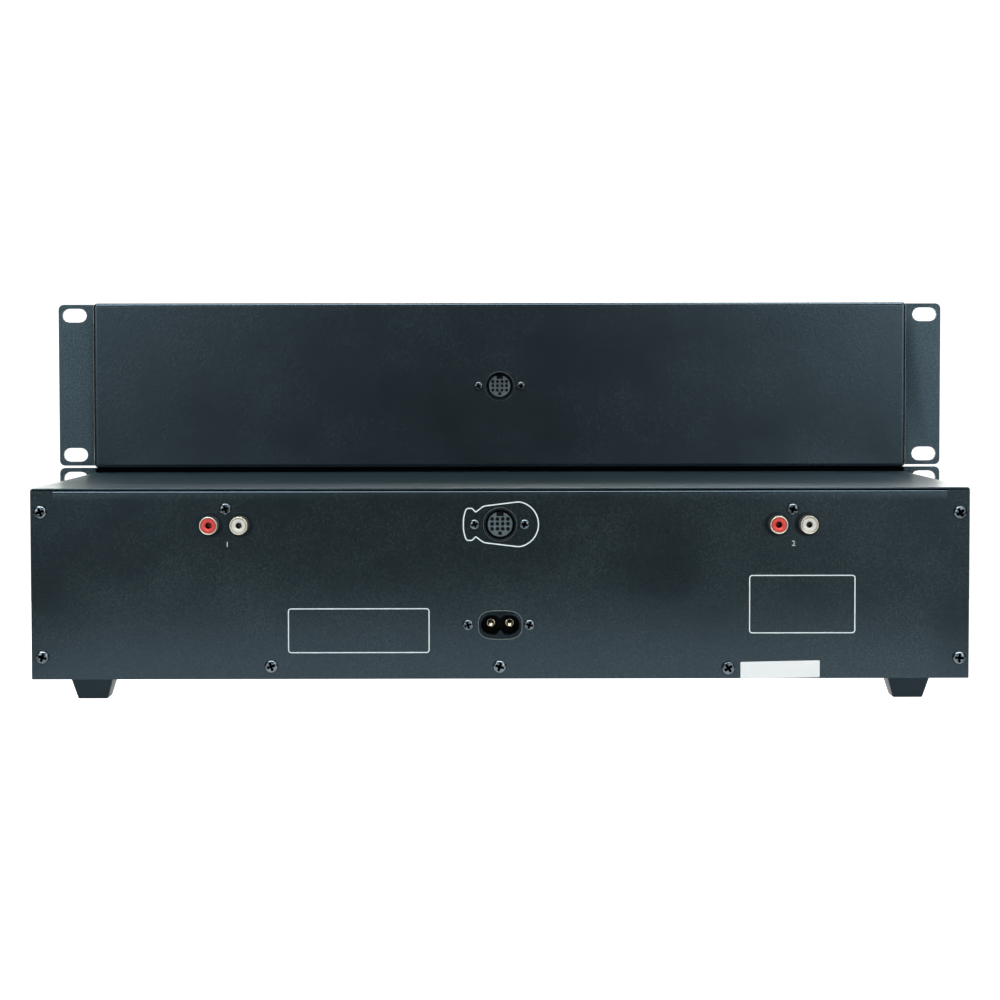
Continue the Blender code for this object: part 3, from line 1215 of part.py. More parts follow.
def make_pitch_slider(side, x):
    """A knob in front of the panel, with its stem through the slot to the fader."""
    middle = x + FADER_X
    shape = bmesh.new()
    block(shape, around(middle, FADER_CAP_WIDTH), (PANEL_FRONT - FADER_CAP_REACH, PANEL_FRONT - PLAY),
          around(CONTROL_Z, FADER_CAP_HEIGHT))
    cap = add_part(f"pitch_slider_{side}", shape, GREY_PLASTIC, (middle, PANEL_FRONT, CONTROL_Z))
    round_edges(cap, DOOR_ROUNDING)
    stem = bmesh.new()
    block(stem, around(middle, FADER_STEM), (PANEL_FRONT - 2 * PLAY - OVERRUN,
                                             CONTROL_BOARD - FADER_BODY_THICKNESS - GAP),
          around(CONTROL_Z, FADER_STEM_HEIGHT))
    unite(cap, stem)


def make_rocker(name, x):
    """A two-way key that tips about an upright line on its post."""
    z = CONTROL_Z + SMALL_KEY_Z
    shape = bmesh.new()
    block(shape, around(x, ROCKER_WIDTH), (PANEL_FRONT - KEY_REACH, PANEL_BACK), around(z, ROCKER_HEIGHT))
    rocker = add_part(name, shape, GREY_PLASTIC, (x, PANEL_BACK, z))
    round_edges(rocker, KEY_ROUNDING)
    neck = bmesh.new()
    rod(neck, (x, PANEL_BACK - KEY_RIM, z), (x, switch_face() - GAP, z), KEY_STEM / 2, HOLE_SIDES // 2)
    unite(rocker, neck)


def make_control_keys(side, x):
    stem_end = switch_face() - KEY_TRAVEL - GAP
    make_key(f"play_button_{side}", x + PLAY_X, CONTROL_Z + BIG_KEY_Z, BIG_KEY_WIDTH, BIG_KEY_HEIGHT,
             KEY_GREEN, stem_end)
    make_key(f"cue_button_{side}", x + CUE_X, CONTROL_Z + BIG_KEY_Z, BIG_KEY_WIDTH, BIG_KEY_HEIGHT,
             KEY_AMBER, stem_end)
    make_key(f"time_button_{side}", x + SMALL_KEY_X, CONTROL_Z + SMALL_KEY_Z, SMALL_KEY_WIDTH,
             SMALL_KEY_HEIGHT, GREY_PLASTIC, stem_end)
    make_rocker(f"track_rocker_{side}", x + TRACK_X)
    make_rocker(f"bend_rocker_{side}", x + BEND_X)


def make_drive_unit():
    make_base()
    make_cover()
    make_rear_panel()
    make_drive_panel()
    make_feet()
    make_line_out("line_out_left", BODY_WIDTH * LEFT_JACKS_SHARE)
    make_line_out("line_out_right", BODY_WIDTH * RIGHT_JACKS_SHARE)
    make_round_socket("drive_link_socket", REAR, SOCKET_Z)
    make_inlet()
    make_main_board()
    make_power_board()
    make_transformer()
    make_drive_buttons()
    for side, x in LOADERS.items():
        make_loader(side, x)


def make_control_unit():
    make_control_panel()
    make_control_box()
    make_rest_pads()
    make_control_board()
    make_round_socket("control_link_socket", BOX_REAR, LINK_Z)
    for side, x in DECKS.items():
        make_display_window(side, x)
        make_jog_wheel(side, x)
        make_pitch_slider(side, x)
        make_control_keys(side, x)


clear_scene()
PARTS = new_collection("double_disc_player")
CUTTERS = new_collection("cutters")
make_drive_unit()
make_control_unit()
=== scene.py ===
"""Looks of a two-piece disc player for a rack: a drive unit on four feet, and the control unit on its lid.

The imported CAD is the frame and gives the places. New pieces are surfaces worked out with numpy: a
profile turned round an axis, an outline drawn in ring by ring, or a line carried along a path. Flat
designs are given as across, up and out, as seen from the side that they face. All sizes are in metres.
"""

import json
import math

import bmesh
import bpy
import numpy as np
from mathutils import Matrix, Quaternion, Vector

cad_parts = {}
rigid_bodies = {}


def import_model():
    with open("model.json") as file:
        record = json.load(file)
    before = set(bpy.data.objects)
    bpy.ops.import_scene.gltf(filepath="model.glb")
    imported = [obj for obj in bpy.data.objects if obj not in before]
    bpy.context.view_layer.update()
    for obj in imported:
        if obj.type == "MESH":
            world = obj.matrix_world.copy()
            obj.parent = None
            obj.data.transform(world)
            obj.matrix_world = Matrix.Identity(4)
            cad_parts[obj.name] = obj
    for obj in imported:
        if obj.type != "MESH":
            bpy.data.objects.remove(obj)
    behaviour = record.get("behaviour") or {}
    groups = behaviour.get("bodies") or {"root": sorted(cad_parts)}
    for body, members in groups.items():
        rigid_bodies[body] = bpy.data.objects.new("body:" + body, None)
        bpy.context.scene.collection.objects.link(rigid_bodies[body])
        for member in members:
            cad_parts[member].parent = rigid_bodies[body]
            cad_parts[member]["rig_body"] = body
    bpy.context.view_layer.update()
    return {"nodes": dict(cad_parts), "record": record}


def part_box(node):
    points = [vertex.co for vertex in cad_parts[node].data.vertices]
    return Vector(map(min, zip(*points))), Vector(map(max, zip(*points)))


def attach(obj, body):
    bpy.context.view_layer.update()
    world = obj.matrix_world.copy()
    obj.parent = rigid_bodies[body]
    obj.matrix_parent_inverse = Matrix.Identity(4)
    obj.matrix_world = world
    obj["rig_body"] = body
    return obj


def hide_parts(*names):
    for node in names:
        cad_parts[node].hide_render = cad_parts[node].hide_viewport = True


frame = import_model()


# Sizes

GAP = 0.0003
MERGE = 0.000001
SMOOTH_ANGLE = math.radians(32)
EDGE = 0.0002                   # rounding of a cut sheet's edge
HANDS = (-1, 1)
SIDES = ("left", "right")

SHEET = 0.0012
FOLD = 0.0015                   # outer radius of the folded sheets
LIP_FOLD = 0.0014
BOX_FOLD = 0.0020
LIP_DEPTH = 0.0090
LIP_REACH = 0.2030              # of the rear lip's ends from the middle
LIP_RELIEF = 0.0003             # width of the cut beside the lip
LIP_RISE = 0.0004               # of the lip above the top of the CAD's panel
TAB_RISE = 0.0005
TAB_CORNER = np.array([(0.0, 0.0010), (0.0003, 0.0004), (0.0010, 0.0)])   # in from its end, and down
COVER_SHEET = 0.0007
CELL_HALF = 0.0170              # of the square of plate round a socket's hole
CELL_STEPS = 12
FLANGE_REACH = 0.0091           # of the cover's rear flanges in from its sides
FLANGE_LOW, FLANGE_DROP = 0.0130, 0.0040

JACK_PITCH = 0.0137
JACK_REACH = 0.0090
JACK_COLLAR = 0.0058
JACK_COLLAR_RISE = 0.0005
JACK_BARREL = 0.00405
JACK_WALL = 0.0005
JACK_LINER_SINK = 0.0004
JACK_LINER_STEP, JACK_LINER_GROOVE = 0.0012, 0.0003
JACK_LINER_FACE, JACK_LINER_SLOPE = 0.0020, 0.0006
JACK_BORE = 0.0014
JACK_BORE_DEPTH = 0.0078
JACK_BORE_SHADE_SINK, JACK_BORE_SHADE_WALL = 0.002, 0.00025
JACK_BODY_DEPTH = 0.0200

RING_RADIUS = 0.0076
RING_INNER = 0.0067
RING_RISE = 0.0005
RING_SIDES = 72
CORE_RADIUS = 0.0056
CORE_SINK = 0.0005
CORE_RINGS, CORE_SIDES = 52, 288
CAVITY_DEPTH = 0.0085
PIN_HOLE = 0.00078
PIN_HOLE_DEPTH = 0.0020
PIN_PITCH = 0.0024
PIN_ROWS = ((0.0024, 4), (0.0002, 4), (-0.0021, 4), (-0.0041, 1))   # height of a row, and its pins
KEY_NOTCH_WIDTH, KEY_NOTCH_HEIGHT = 0.0033, 0.0019
HOLE_EDGE = 0.0003
FLANGE = 0.0020                 # back of a socket's flange behind the sheet
FLANGE_POWER = 9                # of its outline, nearly a rectangle

SNOUT_WIDTH, SNOUT_HEIGHT = 0.0196, 0.0128
SNOUT_POWER = 3.0               # of the snout's outline, a rounded oblong as a power curve
SNOUT_RISE = 0.0004
SNOUT_EDGE = 0.0004
RECESS_WIDTH, RECESS_HEIGHT = 0.0175, 0.0088
NOTCH_DROP, NOTCH_CLIMB = 0.0014, 0.0021   # depths of the recess's upper and lower notch
NOTCH_HALF = 0.0020
RECESS_DEPTH = 0.0115
MAINS_PIN_PITCH = 0.0086
MAINS_PIN_RADIUS = 0.0010
MAINS_PIN_LENGTH = 0.0088
MAINS_PIN_TIP = 0.0009
MAINS_PIN_RING, MAINS_PIN_RING_RISE = 0.0018, 0.0006

SCREW_RINGS, SCREW_SIDES = 26, 72
SCREW_HEIGHT_SHARE = 0.52       # of its radius
CROSS_HALF_SHARE = 0.19
CROSS_REACH_SHARE = 0.70
CROSS_DEPTH_SHARE = 0.85
FIRST_TURN, NEXT_TURN = 0.35, 0.9
CORNER_SCREW = 0.0031
JACK_SCREW = 0.0028
INLET_SCREW = 0.0026
SOCKET_SCREW = 0.0024
FRONT_SCREW, FRONT_SCREW_ASIDE = 0.0028, 0.204

INK = 0.00005                   # thickness of a printed line
PLUG_LINE = 0.00052
FRAME_LINE = 0.00045
FRAME_CORNER = 0.0012
LABEL_TILT = 0.019
DIGIT_HEIGHT = 0.0034
DIGIT_RISE = 0.0615             # of the numbers' middle above the body's base
STRIP_REACH, STRIP_DEPTH, STRIP_INSET = 0.2131, 0.0040, 0.0012

PANEL_DEPTH = 0.0030
KEY_REACH = 0.0025
KEY_MARGIN = 0.0016             # of a key's rim beyond its cap
KEY_CORNER = 0.0009
KEY_EDGE = 0.0005
KEY_BORDER = 0.0009
KEY_DISH = 0.0005
KEY_STEM = 0.0020
DISH_SHARE = 0.55               # of half a key's height, from its edge to the flat floor
RIM_FRONT, RIM_BACK = -0.0033, -0.0053
ROCKER_FALL = 0.0010
JOG_SIDES, JOG_RINGS, JOG_GRIPS = 240, 44, 60
JOG_WAVE = 0.018
JOG_BEVEL = 0.0020
JOG_DISH = 0.0005
JOG_LIFT = 0.0004
JOG_SHAFT = 0.0030
JOG_LINE_SHARE, JOG_LINE_FROM = 0.84, 0.75   # of its radius, and the angle that it leaves open
JOG_LINE = 0.0006
JOG_DISH_SHARE, JOG_DISH_FADE = 0.92, 0.2    # of its radius
GRIP_FRONT, GRIP_BACK, GRIP_RAMP = 0.005, 0.0017, 0.0005
DIMPLE_RADIUS, DIMPLE_DEPTH, DIMPLE_SHARE = 0.0100, 0.0030, 0.58
SLIDER_STEM, SLIDER_STEM_HEIGHT = 0.0014, 0.0050
SLIDER_FACE = ((0.0004, 0.0008), (0.0008, 0.0), (0.0012, 0.0), (0.0019, 0.0005), (0.0030, 0.0009),
               (0.0042, 0.0010))     # in from its edge, and back from its reach
DOOR_BORDER, DOOR_CORNER = 0.0012, 0.0012
GROOVE, GROOVE_SLOPE, GROOVE_WIDTH = 0.0003, 0.0002, 0.0008
WINDOW_MARGIN = 0.0023
SEGMENT_HALF, SEGMENT_THICK = 0.0028, 0.0006
DIGIT_PITCH, DIGIT_DROP = 0.0086, -0.0015
NUMBER_SHARES = (-0.42, -0.10, 0.20)   # where the numbers start, of the pane's width from its middle
METER_BARS, METER_PITCH, METER_SHARE = 13, 0.0037, 0.36
TICKS, TICK_REACH, TICK_ASIDE, TICK_THICK = 13, 0.030, 0.0105, 0.0003
SHORT_TICK, LONG_TICK = 0.0024, 0.0042
SCALE_SIGN, SCALE_SIGN_THICK, SCALE_SIGN_RISE = 0.0026, 0.0005, 0.0375
LAMP_RADIUS = 0.0012
LAMP_ABOVE, POWER_LAMP_ASIDE, OPEN_LAMP_ASIDE = 0.0008, 0.0125, 0.0155
BOSS_HEIGHT = 0.0025
PLATTER_RADIUS = 0.0150
BOARD = 0.0016
POST_RADIUS, POST_INSET = 0.0028, 0.006
POWER_BOARD_RISE, MAIN_BOARD_DROP = 0.0057, 0.0025   # from the bottom and from the top of its box
CAN_ASIDE, CAN_FROM_REAR = 0.014, 0.020
FINS, FIN_HEIGHT, FIN_DEPTH, FIN_ROOT = 9, 0.030, 0.012, 0.003
SINK_MARGIN, SINK_FROM_REAR = 0.030, 0.034
CHIP, CHIP_PITCH, CHIP_FROM_REAR = (0.018, 0.016, 0.0022), 0.022, 0.016
CORE_DEPTH, COIL_SHARE, COIL_REACH = 0.020, 0.70, 0.0135
CHEEK, CHEEK_LOW, CHEEK_HIGH = 0.0012, 0.0158, 0.0146

FOOT_TAPER = 0.69
FOOT_ROUNDING = 0.0006
FOOT_SPREAD = 0.0010


# Surfaces

FACING = {"rear": np.array([(-1, 0, 0), (0, 0, 1), (0, 1, 0)]),
          "front": np.array([(1, 0, 0), (0, 0, 1), (0, -1, 0)]),
          "up": np.eye(3),
          "down": np.array([(1, 0, 0), (0, -1, 0), (0, 0, -1)])}


def placed(points, centre, facing):
    """Points given as across, up and out, put into the frame round a centre."""
    return points @ FACING[facing] + np.asarray(centre, float)


def grid_faces(rows, columns, ring):
    """The four-sided faces between neighbouring rows. With ring, the last column joins the first."""
    row = np.arange(rows - 1)[:, None] * columns
    column = np.arange(columns if ring else columns - 1)[None, :]
    following = (column + 1) % columns
    corners = [row + column, row + following, row + columns + following, row + columns + column]
    return np.stack(corners, -1).reshape(-1, 4)


def full_turn(sides):
    """Angles in even steps, from nought up to a full turn."""
    return np.arange(sides) * 2 * math.pi / sides


def ray(angle):
    """The cosine and the sine of each angle."""
    return np.column_stack([np.cos(angle), np.sin(angle)])


def circle(radius, sides):
    """A point at each step of a full turn."""
    return radius * ray(full_turn(sides))


def eased(points, radius, steps=5):
    """Rounds the corners of a line of points. Each corner becomes the curve whose weights are the square
    of what is left, twice the product, and the square of the way gone, with the corner in the middle."""
    points = np.asarray(points, float)
    before, corner, after = points[:-2], points[1:-1], points[2:]
    reach_in = np.linalg.norm(before - corner, axis=1, keepdims=True)
    reach_out = np.linalg.norm(after - corner, axis=1, keepdims=True)
    start = corner + (before - corner) * np.minimum(np.reshape(radius, (-1, 1)) / reach_in, 0.48)
    end = corner + (after - corner) * np.minimum(np.reshape(radius, (-1, 1)) / reach_out, 0.48)
    way = np.linspace(0, 1, steps)[:, None, None]
    curve = (1 - way) ** 2 * start + 2 * way * (1 - way) * corner + way ** 2 * end
    return np.vstack([points[:1], curve.transpose(1, 0, 2).reshape(-1, 2), points[-1:]])


def eased_loop(points, radius, steps=5):
    """The same for a closed line."""
    points = np.asarray(points, float)
    return eased(np.vstack([points[-1:], points, points[:1]]), radius, steps)[1:-1]


def rounded_rectangle(width, height, radius, steps=6):
    """Four corner arcs of one radius, counterclockwise."""
    angle = (np.linspace(0, math.pi / 2, steps) + np.arange(4)[:, None] * math.pi / 2).ravel()
    across = np.repeat([1, -1, -1, 1], steps) * (width / 2 - radius)
    up = np.repeat([1, 1, -1, -1], steps) * (height / 2 - radius)
    return np.column_stack([across + radius * np.cos(angle), up + radius * np.sin(angle)])


def power_curve(angle, half_width, half_height, power):
    """The distance to an outline at an angle, where the two shares to a power add up to one."""
    shares = np.abs(np.cos(angle) / half_width) ** power + np.abs(np.sin(angle) / half_height) ** power
    return shares ** (-1 / power)


def drawn_in(loop, inset):
    """A counterclockwise loop moved inwards, square to the line between each point's neighbours."""
    along = np.roll(loop, -1, 0) - np.roll(loop, 1, 0)
    along /= np.linalg.norm(along, axis=1, keepdims=True)
    return loop + inset * np.column_stack([-along[:, 1], along[:, 0]])


def at_height(loop, height):
    """A flat loop's points with one height for all."""
    return np.column_stack([loop, np.full(len(loop), height)])


def ringed(*rings):
    """A surface through flat loops of as many points each, every loop at its height."""
    return np.stack([at_height(loop, height) for loop, height in rings])


def raised(loop, profile):
    """Rings of a loop round the origin, each made narrower on all sides by an inset and lifted to a
    height, with a point in the middle of the first and the last ring."""
    half = np.abs(loop).max(0)
    centre = np.tile(loop.mean(0), (len(loop), 1))
    rings = [(loop * (1 - inset / half), height) for inset, height in profile]
    return ringed((centre, profile[0][1]), *rings, (centre, profile[-1][1]))


def block(size, radius, rounding, low=0.0):
    """A plate with rounded corners, seen from above, and a rolled upper edge."""
    top = low + size[2]
    roll = eased([(0, low), (0, top), (3 * rounding, top)], rounding)
    return raised(rounded_rectangle(size[0], size[1], radius), [(0, low), *roll[1:]])


def inked(width, height):
    """A printed bar: a plate as thick as the ink."""
    return block((width, height, INK), EDGE / 4, INK / 3)


def turned(profile, sides=48):
    """A profile of radii and heights, swept round the middle: each row is a circle at its height."""
    return ringed(*((circle(radius, sides), height) for radius, height in profile))


def carried(path, width, height, closed):
    """A flat strip along a path: at each point two corners half the width to each side, square to the
    line between its neighbours, and the same two at the height."""
    path = np.asarray(path, float)
    along = (np.roll(path, -1, 0) - np.roll(path, 1, 0)) if closed else np.gradient(path, axis=0)
    along /= np.linalg.norm(along, axis=1, keepdims=True)
    aside = np.column_stack([-along[:, 1], along[:, 0]]) * width / 2
    strip = np.stack([at_height(path + hand * aside, out)
                      for hand, out in ((1, 0), (-1, 0), (-1, height), (1, height))], 1)
    return np.concatenate([strip, strip[:1]]) if closed else capped(strip)


def capped(strip):
    """A strip with the middle of its first and last row put before and after it."""
    first, last = (end.mean(0)[None].repeat(4, 0)[None] for end in (strip[0], strip[-1]))
    return np.concatenate([first, strip, last])


def smooth_step(value):
    """Nought below nought, one above one, and three squares less two cubes between them."""
    value = np.clip(value, 0, 1)
    return value * value * (3 - 2 * value)


def cross_head(radius, turn):
    """A pan head. Its height falls off with the sixth power of the distance from the middle, and the
    recess is the deeper of two crossed slots, each a product of two smooth steps."""
    share = np.linspace(0, 1, SCREW_RINGS)[:, None]
    angle = full_turn(SCREW_SIDES)
    along, across = share * np.cos(angle - turn), share * np.sin(angle - turn)

    def slot(length, width):
        """One where both shares are well inside the slot, and nought outside it."""
        return (smooth_step((CROSS_REACH_SHARE - np.abs(length)) / (CROSS_REACH_SHARE / 2))
                * smooth_step((CROSS_HALF_SHARE - np.abs(width)) / (CROSS_HALF_SHARE / 2)))

    dome = SCREW_HEIGHT_SHARE * np.sqrt(1 - share ** 6)
    height = radius * (dome - CROSS_DEPTH_SHARE * np.maximum(slot(along, across), slot(across, along)))
    head = np.stack([radius * share * np.cos(angle), radius * share * np.sin(angle), height], -1)
    return np.concatenate([head, np.zeros((1, SCREW_SIDES, 3))])


# Finishes

def paint(red, green, blue):
    """A colour read off a screen, as the light that it stands for."""
    shares = np.array([red, green, blue]) / 255
    light = np.where(shares > 0.04045, ((shares + 0.055) / 1.055) ** 2.4, shares / 12.92)
    return (*light, 1.0)


def add_node(tree, kind, inputs=None, **settings):
    """A node with its settings. An input is a value, or the socket that feeds it."""
    node = tree.nodes.new(kind)
    for key, value in settings.items():
        setattr(node, key, value)
    for key, value in (inputs or {}).items():
        if isinstance(value, bpy.types.NodeSocket):
            tree.links.new(value, node.inputs[key])
        else:
            node.inputs[key].default_value = value
    return node


def maths(tree, operation, *values):
    """One sum of two or three values, each a number or the socket that feeds it."""
    return add_node(tree, "ShaderNodeMath", dict(enumerate(values)), operation=operation).outputs[0]


def noise(tree, place, scale, detail=3.0, roughness=0.55):
    """Noise at a place, from nought to one."""
    return add_node(tree, "ShaderNodeTexNoise", {"Vector": place, "Scale": scale, "Detail": detail,
                                                 "Roughness": roughness}).outputs["Fac"]


def spread(tree, value, low, high, to_low=0.0, to_high=1.0):
    """A value's range drawn out to another, held at its ends."""
    return add_node(tree, "ShaderNodeMapRange", {"Value": value, "From Min": low, "From Max": high,
                                                 "To Min": to_low, "To Max": to_high}).outputs["Result"]


def blended(tree, share, first, second):
    """Two colours mixed by a share of the second."""
    return add_node(tree, "ShaderNodeMix", {0: share, 6: first, 7: second}, data_type='RGBA').outputs[2]


def mixed_number(tree, share, first, second):
    """Two numbers mixed by a share of the second."""
    return add_node(tree, "ShaderNodeMix", {0: share, 2: first, 3: second}).outputs[0]


NUMBER, COLOUR, VECTOR = "NodeSocketFloat", "NodeSocketColor", "NodeSocketVector"
GROUP_INPUTS = {"Place": VECTOR, "Stretch": VECTOR, "Colour": COLOUR, "Worn": COLOUR, "Grain Scale": NUMBER,
                "Wear": NUMBER, "Roughness": NUMBER}
GROUP_OUTPUTS = {"Colour": COLOUR, "Roughness": NUMBER, "Height": NUMBER}


def make_group(name, detail, patch, patch_range, gloss, grainy=False):
    """A surface from its place. Fine grain, drawn out along the stretch, lifts it. Broad patches times the
    wear bring in the second colour, and times the gloss they change the roughness. On a grainy one the
    share of the second colour is half the grain times one more than the patches."""
    group = bpy.data.node_groups.new(name, 'ShaderNodeTree')
    for in_out, sockets in (('INPUT', GROUP_INPUTS), ('OUTPUT', GROUP_OUTPUTS)):
        for label, kind in sockets.items():
            group.interface.new_socket(name=label, in_out=in_out, socket_type=kind)
    given = group.nodes.new("NodeGroupInput").outputs
    stretched = add_node(group, "ShaderNodeVectorMath", {0: given["Place"], 1: given["Stretch"]},
                         operation='MULTIPLY').outputs[0]
    grain = noise(group, stretched, given["Grain Scale"], detail)
    patches = spread(group, noise(group, given["Place"], *patch), *patch_range)
    if grainy:
        fine = spread(group, grain, 0.35, 0.7)
        share = maths(group, 'MULTIPLY', maths(group, 'MULTIPLY_ADD', fine, patches, fine), 0.5)
    else:
        share = maths(group, 'MULTIPLY', patches, given["Wear"])
    add_node(group, "NodeGroupOutput", {
        "Colour": blended(group, share, given["Colour"], given["Worn"]),
        "Roughness": maths(group, 'MULTIPLY_ADD', patches, gloss, given["Roughness"]), "Height": grain})
    return group


COAT = make_group("coat_grain", 2.0, (28.0, 4.0), (0.3, 0.7), 0.04, grainy=True)
MOULD = make_group("mould_grain", 2.0, (120.0, 5.0, 0.65), (0.45, 0.75), -0.12)
METAL = make_group("metal_grain", 3.0, (160.0, 4.0), (0.4, 0.7), 0.15)
SLOTS = {}                      # the record's material slot for each finish


def new_finish(name, slot, group, values, depth, relief, **shader_values):
    """A material whose colour, roughness and relief come from a group, with plain values on its shader."""
    finish = bpy.data.materials.new(name)
    finish.use_nodes = True
    tree = finish.node_tree
    shader = tree.nodes["Principled BSDF"].inputs
    place = tree.nodes.new("ShaderNodeTexCoord").outputs["Object"]
    look = add_node(tree, "ShaderNodeGroup", {"Place": place, "Stretch": (1, 1, 1), "Wear": 1.0, **values},
                    node_tree=group).outputs
    bump = add_node(tree, "ShaderNodeBump", {"Height": look["Height"], "Strength": relief, "Distance": depth})
    tree.links.new(look["Colour"], shader["Base Color"])
    tree.links.new(look["Roughness"], shader["Roughness"])
    tree.links.new(bump.outputs["Normal"], shader["Normal"])
    for key, value in shader_values.items():
        shader[key.replace("_", " ")].default_value = value
    SLOTS[finish.name] = slot
    return finish


COAT_TINT = (0.56, 0.80, 1.0, 1.0)


def coated(name, slot, colour, light, roughness=0.18, grain=1500.0, relief=0.12):
    """Powder coat."""
    return new_finish(name, slot, COAT, {"Colour": paint(*colour), "Worn": paint(*light),
                                         "Roughness": roughness, "Grain Scale": grain},
                      0.0001, relief, Specular_Tint=COAT_TINT)


def moulded(name, slot, colour, worn, roughness=0.4, wear=0.3, grain=2500.0, relief=0.25, **shader_values):
    """Plastic, rubber or print, with a faint spark-eroded grain and a little handling wear."""
    return new_finish(name, slot, MOULD, {"Colour": paint(*colour), "Worn": paint(*worn),
                                          "Roughness": roughness, "Wear": wear, "Grain Scale": grain},
                      0.00005, relief, **shader_values)


def plated(name, slot, colour, film, roughness=0.22, stretch=(1, 1, 1)):
    """Metal with fine scratches along one direction and a dull film in patches."""
    return new_finish(name, slot, METAL, {"Colour": paint(*colour), "Worn": paint(*film),
                                          "Roughness": roughness, "Stretch": stretch,
                                          "Grain Scale": 1800.0}, 0.00002, 0.2, Metallic=1.0)


def lit(name, slot, colour, strength):
    """A moulded lens with light of its own."""
    return moulded(name, slot, colour, colour, 0.3, 0.1, Emission_Color=paint(*colour),
                   Emission_Strength=strength)


SHADED = {"Specular_IOR_Level": 0.16, "Specular_Tint": COAT_TINT}
BOX_COAT = coated("box_coat", "black_steel", (0, 4, 4), (27, 35, 35), grain=1000.0, relief=0.22)
REAR_COAT = coated("rear_coat", "black_panel", (0, 7, 6), (32, 39, 38), grain=1150.0, relief=0.2)
# Lighter than the box's coat of the same black steel: the lighter colour stands in for the lid's sheen at a
# low view, painted light.
LID_SHEEN_COAT = coated("lid_sheen_coat", "black_steel", (20, 34, 37), (37, 51, 56), roughness=0.28, relief=0.006)
PANEL_COAT = coated("panel_coat", "black_panel", (22, 36, 40), (68, 84, 90), roughness=0.35, grain=1100.0)
BLACK_MOULD = moulded("black_mould", "black_plastic", (9, 11, 12), (20, 23, 25), 0.34, **SHADED)
SOCKET_MOULD = moulded("socket_mould", "black_plastic", (9, 13, 15), (18, 24, 26), 0.3, **SHADED)
CORE_MOULD = moulded("core_mould", "grey_plastic", (60, 76, 82), (74, 90, 96), 0.42, 0.4)
# Near-black with little sheen: painted shade in holes, bores and recesses.
RECESS_SHADE = moulded("recess_shade_black", "black_plastic", (5, 7, 8), (9, 11, 12), 0.6, Specular_IOR_Level=0.05)
# Near-black with no sheen: painted shade for the gap under the control unit's box.
GAP_SHADE_BLACK = moulded("gap_shade_black", "rubber", (3, 4, 5), (6, 7, 8), 1.0, 0.2, Specular_IOR_Level=0.0)
SNOUT_MOULD = moulded("snout_mould", "black_plastic", (8, 15, 17), (20, 28, 29), 0.3, **SHADED)
# Pale grey: painted highlight on the cut edges of the sheet's holes.
EDGE_HIGHLIGHT = moulded("edge_highlight_grey", "grey_plastic", (86, 98, 98), (104, 116, 114), 0.4, 0.6)
FOOT_RUBBER = moulded("foot_rubber", "rubber", (14, 23, 26), (29, 40, 43), 0.5, 0.4, 1400.0,
                      Specular_IOR_Level=0.22, Specular_Tint=COAT_TINT)
RED_LINER = moulded("red_liner", "white_plastic", (200, 56, 50), (214, 84, 74), 0.35, 0.3)
WHITE_LINER = moulded("white_liner", "white_plastic", (206, 208, 198), (216, 217, 208), 0.35, 0.3)
NICKEL = plated("nickel", "zinc", (188, 184, 170), (160, 156, 144), 0.3)
PIN_METAL = plated("pin_metal", "zinc", (232, 222, 198), (206, 196, 172), 0.16)
SCREW_BLACK = plated("screw_black", "black_steel", (92, 102, 108), (50, 58, 62), 0.13)
INK_WHITE = moulded("ink_white", "white_plastic", (224, 236, 240), (232, 242, 246), 0.6, 0.2)
LABEL_WHITE = moulded("label_white", "white_plastic", (226, 231, 232), (233, 237, 238), 0.8, 0.4)
ZINC = plated("zinc", "zinc", (190, 192, 194), (150, 153, 156), 0.3, (1, 0.08, 1))
DARK_MOULD = moulded("dark_mould", "dark_plastic", (44, 46, 49), (58, 61, 64), 0.45)
GREY_MOULD = moulded("grey_mould", "grey_plastic", (94, 98, 104), (112, 116, 122), 0.4)
WHITE_MOULD = moulded("white_mould", "white_plastic", (220, 217, 205), (232, 230, 222), 0.4)
BOARD_MOULD = moulded("board_green", "board_green", (24, 84, 48), (60, 130, 74), 0.35, 0.8, 600.0)
CORE_STEEL = plated("core_steel", "core_steel", (120, 116, 112), (84, 80, 76), 0.45, (1, 1, 20))
GREEN_KEY = moulded("green_key", "key_green", (60, 150, 88), (90, 176, 114), 0.38)
AMBER_KEY = moulded("amber_key", "key_amber", (206, 128, 40), (222, 150, 66), 0.38)
SMOKED = moulded("smoked_window", "smoked_window", (10, 15, 19), (15, 21, 26), 0.2, relief=0.0,
                 Specular_IOR_Level=0.25)
LENS = moulded("lens_glass", "smoked_window", (70, 90, 170), (90, 110, 190), 0.1, 0.2, relief=0.0)
INK_GREY = moulded("ink_grey", "grey_plastic", (170, 174, 178), (182, 186, 190), 0.6, 0.2)
SLEEVE = moulded("capacitor_sleeve", "black_plastic", (26, 34, 70), (44, 54, 96), 0.3)
TAPE = moulded("coil_tape", "key_amber", (190, 150, 60), (206, 172, 92), 0.4, 0.6)
LIT_DIGITS = lit("lit_digits", "white_plastic", (150, 232, 240), 2.5)
GREEN_LAMP = lit("green_lamp", "key_green", (60, 200, 90), 0.5)
AMBER_LAMP = lit("amber_lamp", "key_amber", (250, 160, 50), 0.5)
RED_LAMP = lit("red_lamp", "white_plastic", (230, 50, 40), 0.5)


# Pieces

def add_mesh(name, mesh, finish, node, replaced=False):
    """A piece that rides with a CAD node's body, and takes the node's place if it is replaced."""
    piece = bpy.data.objects.new(name, mesh)
    bpy.context.scene.collection.objects.link(piece)
    mesh.materials.append(finish)
    mesh.shade_smooth()
    mesh.set_sharp_from_angle(angle=SMOOTH_ANGLE)
    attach(piece, frame["nodes"][node]["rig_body"])
    if replaced:
        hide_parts(node)
    return piece


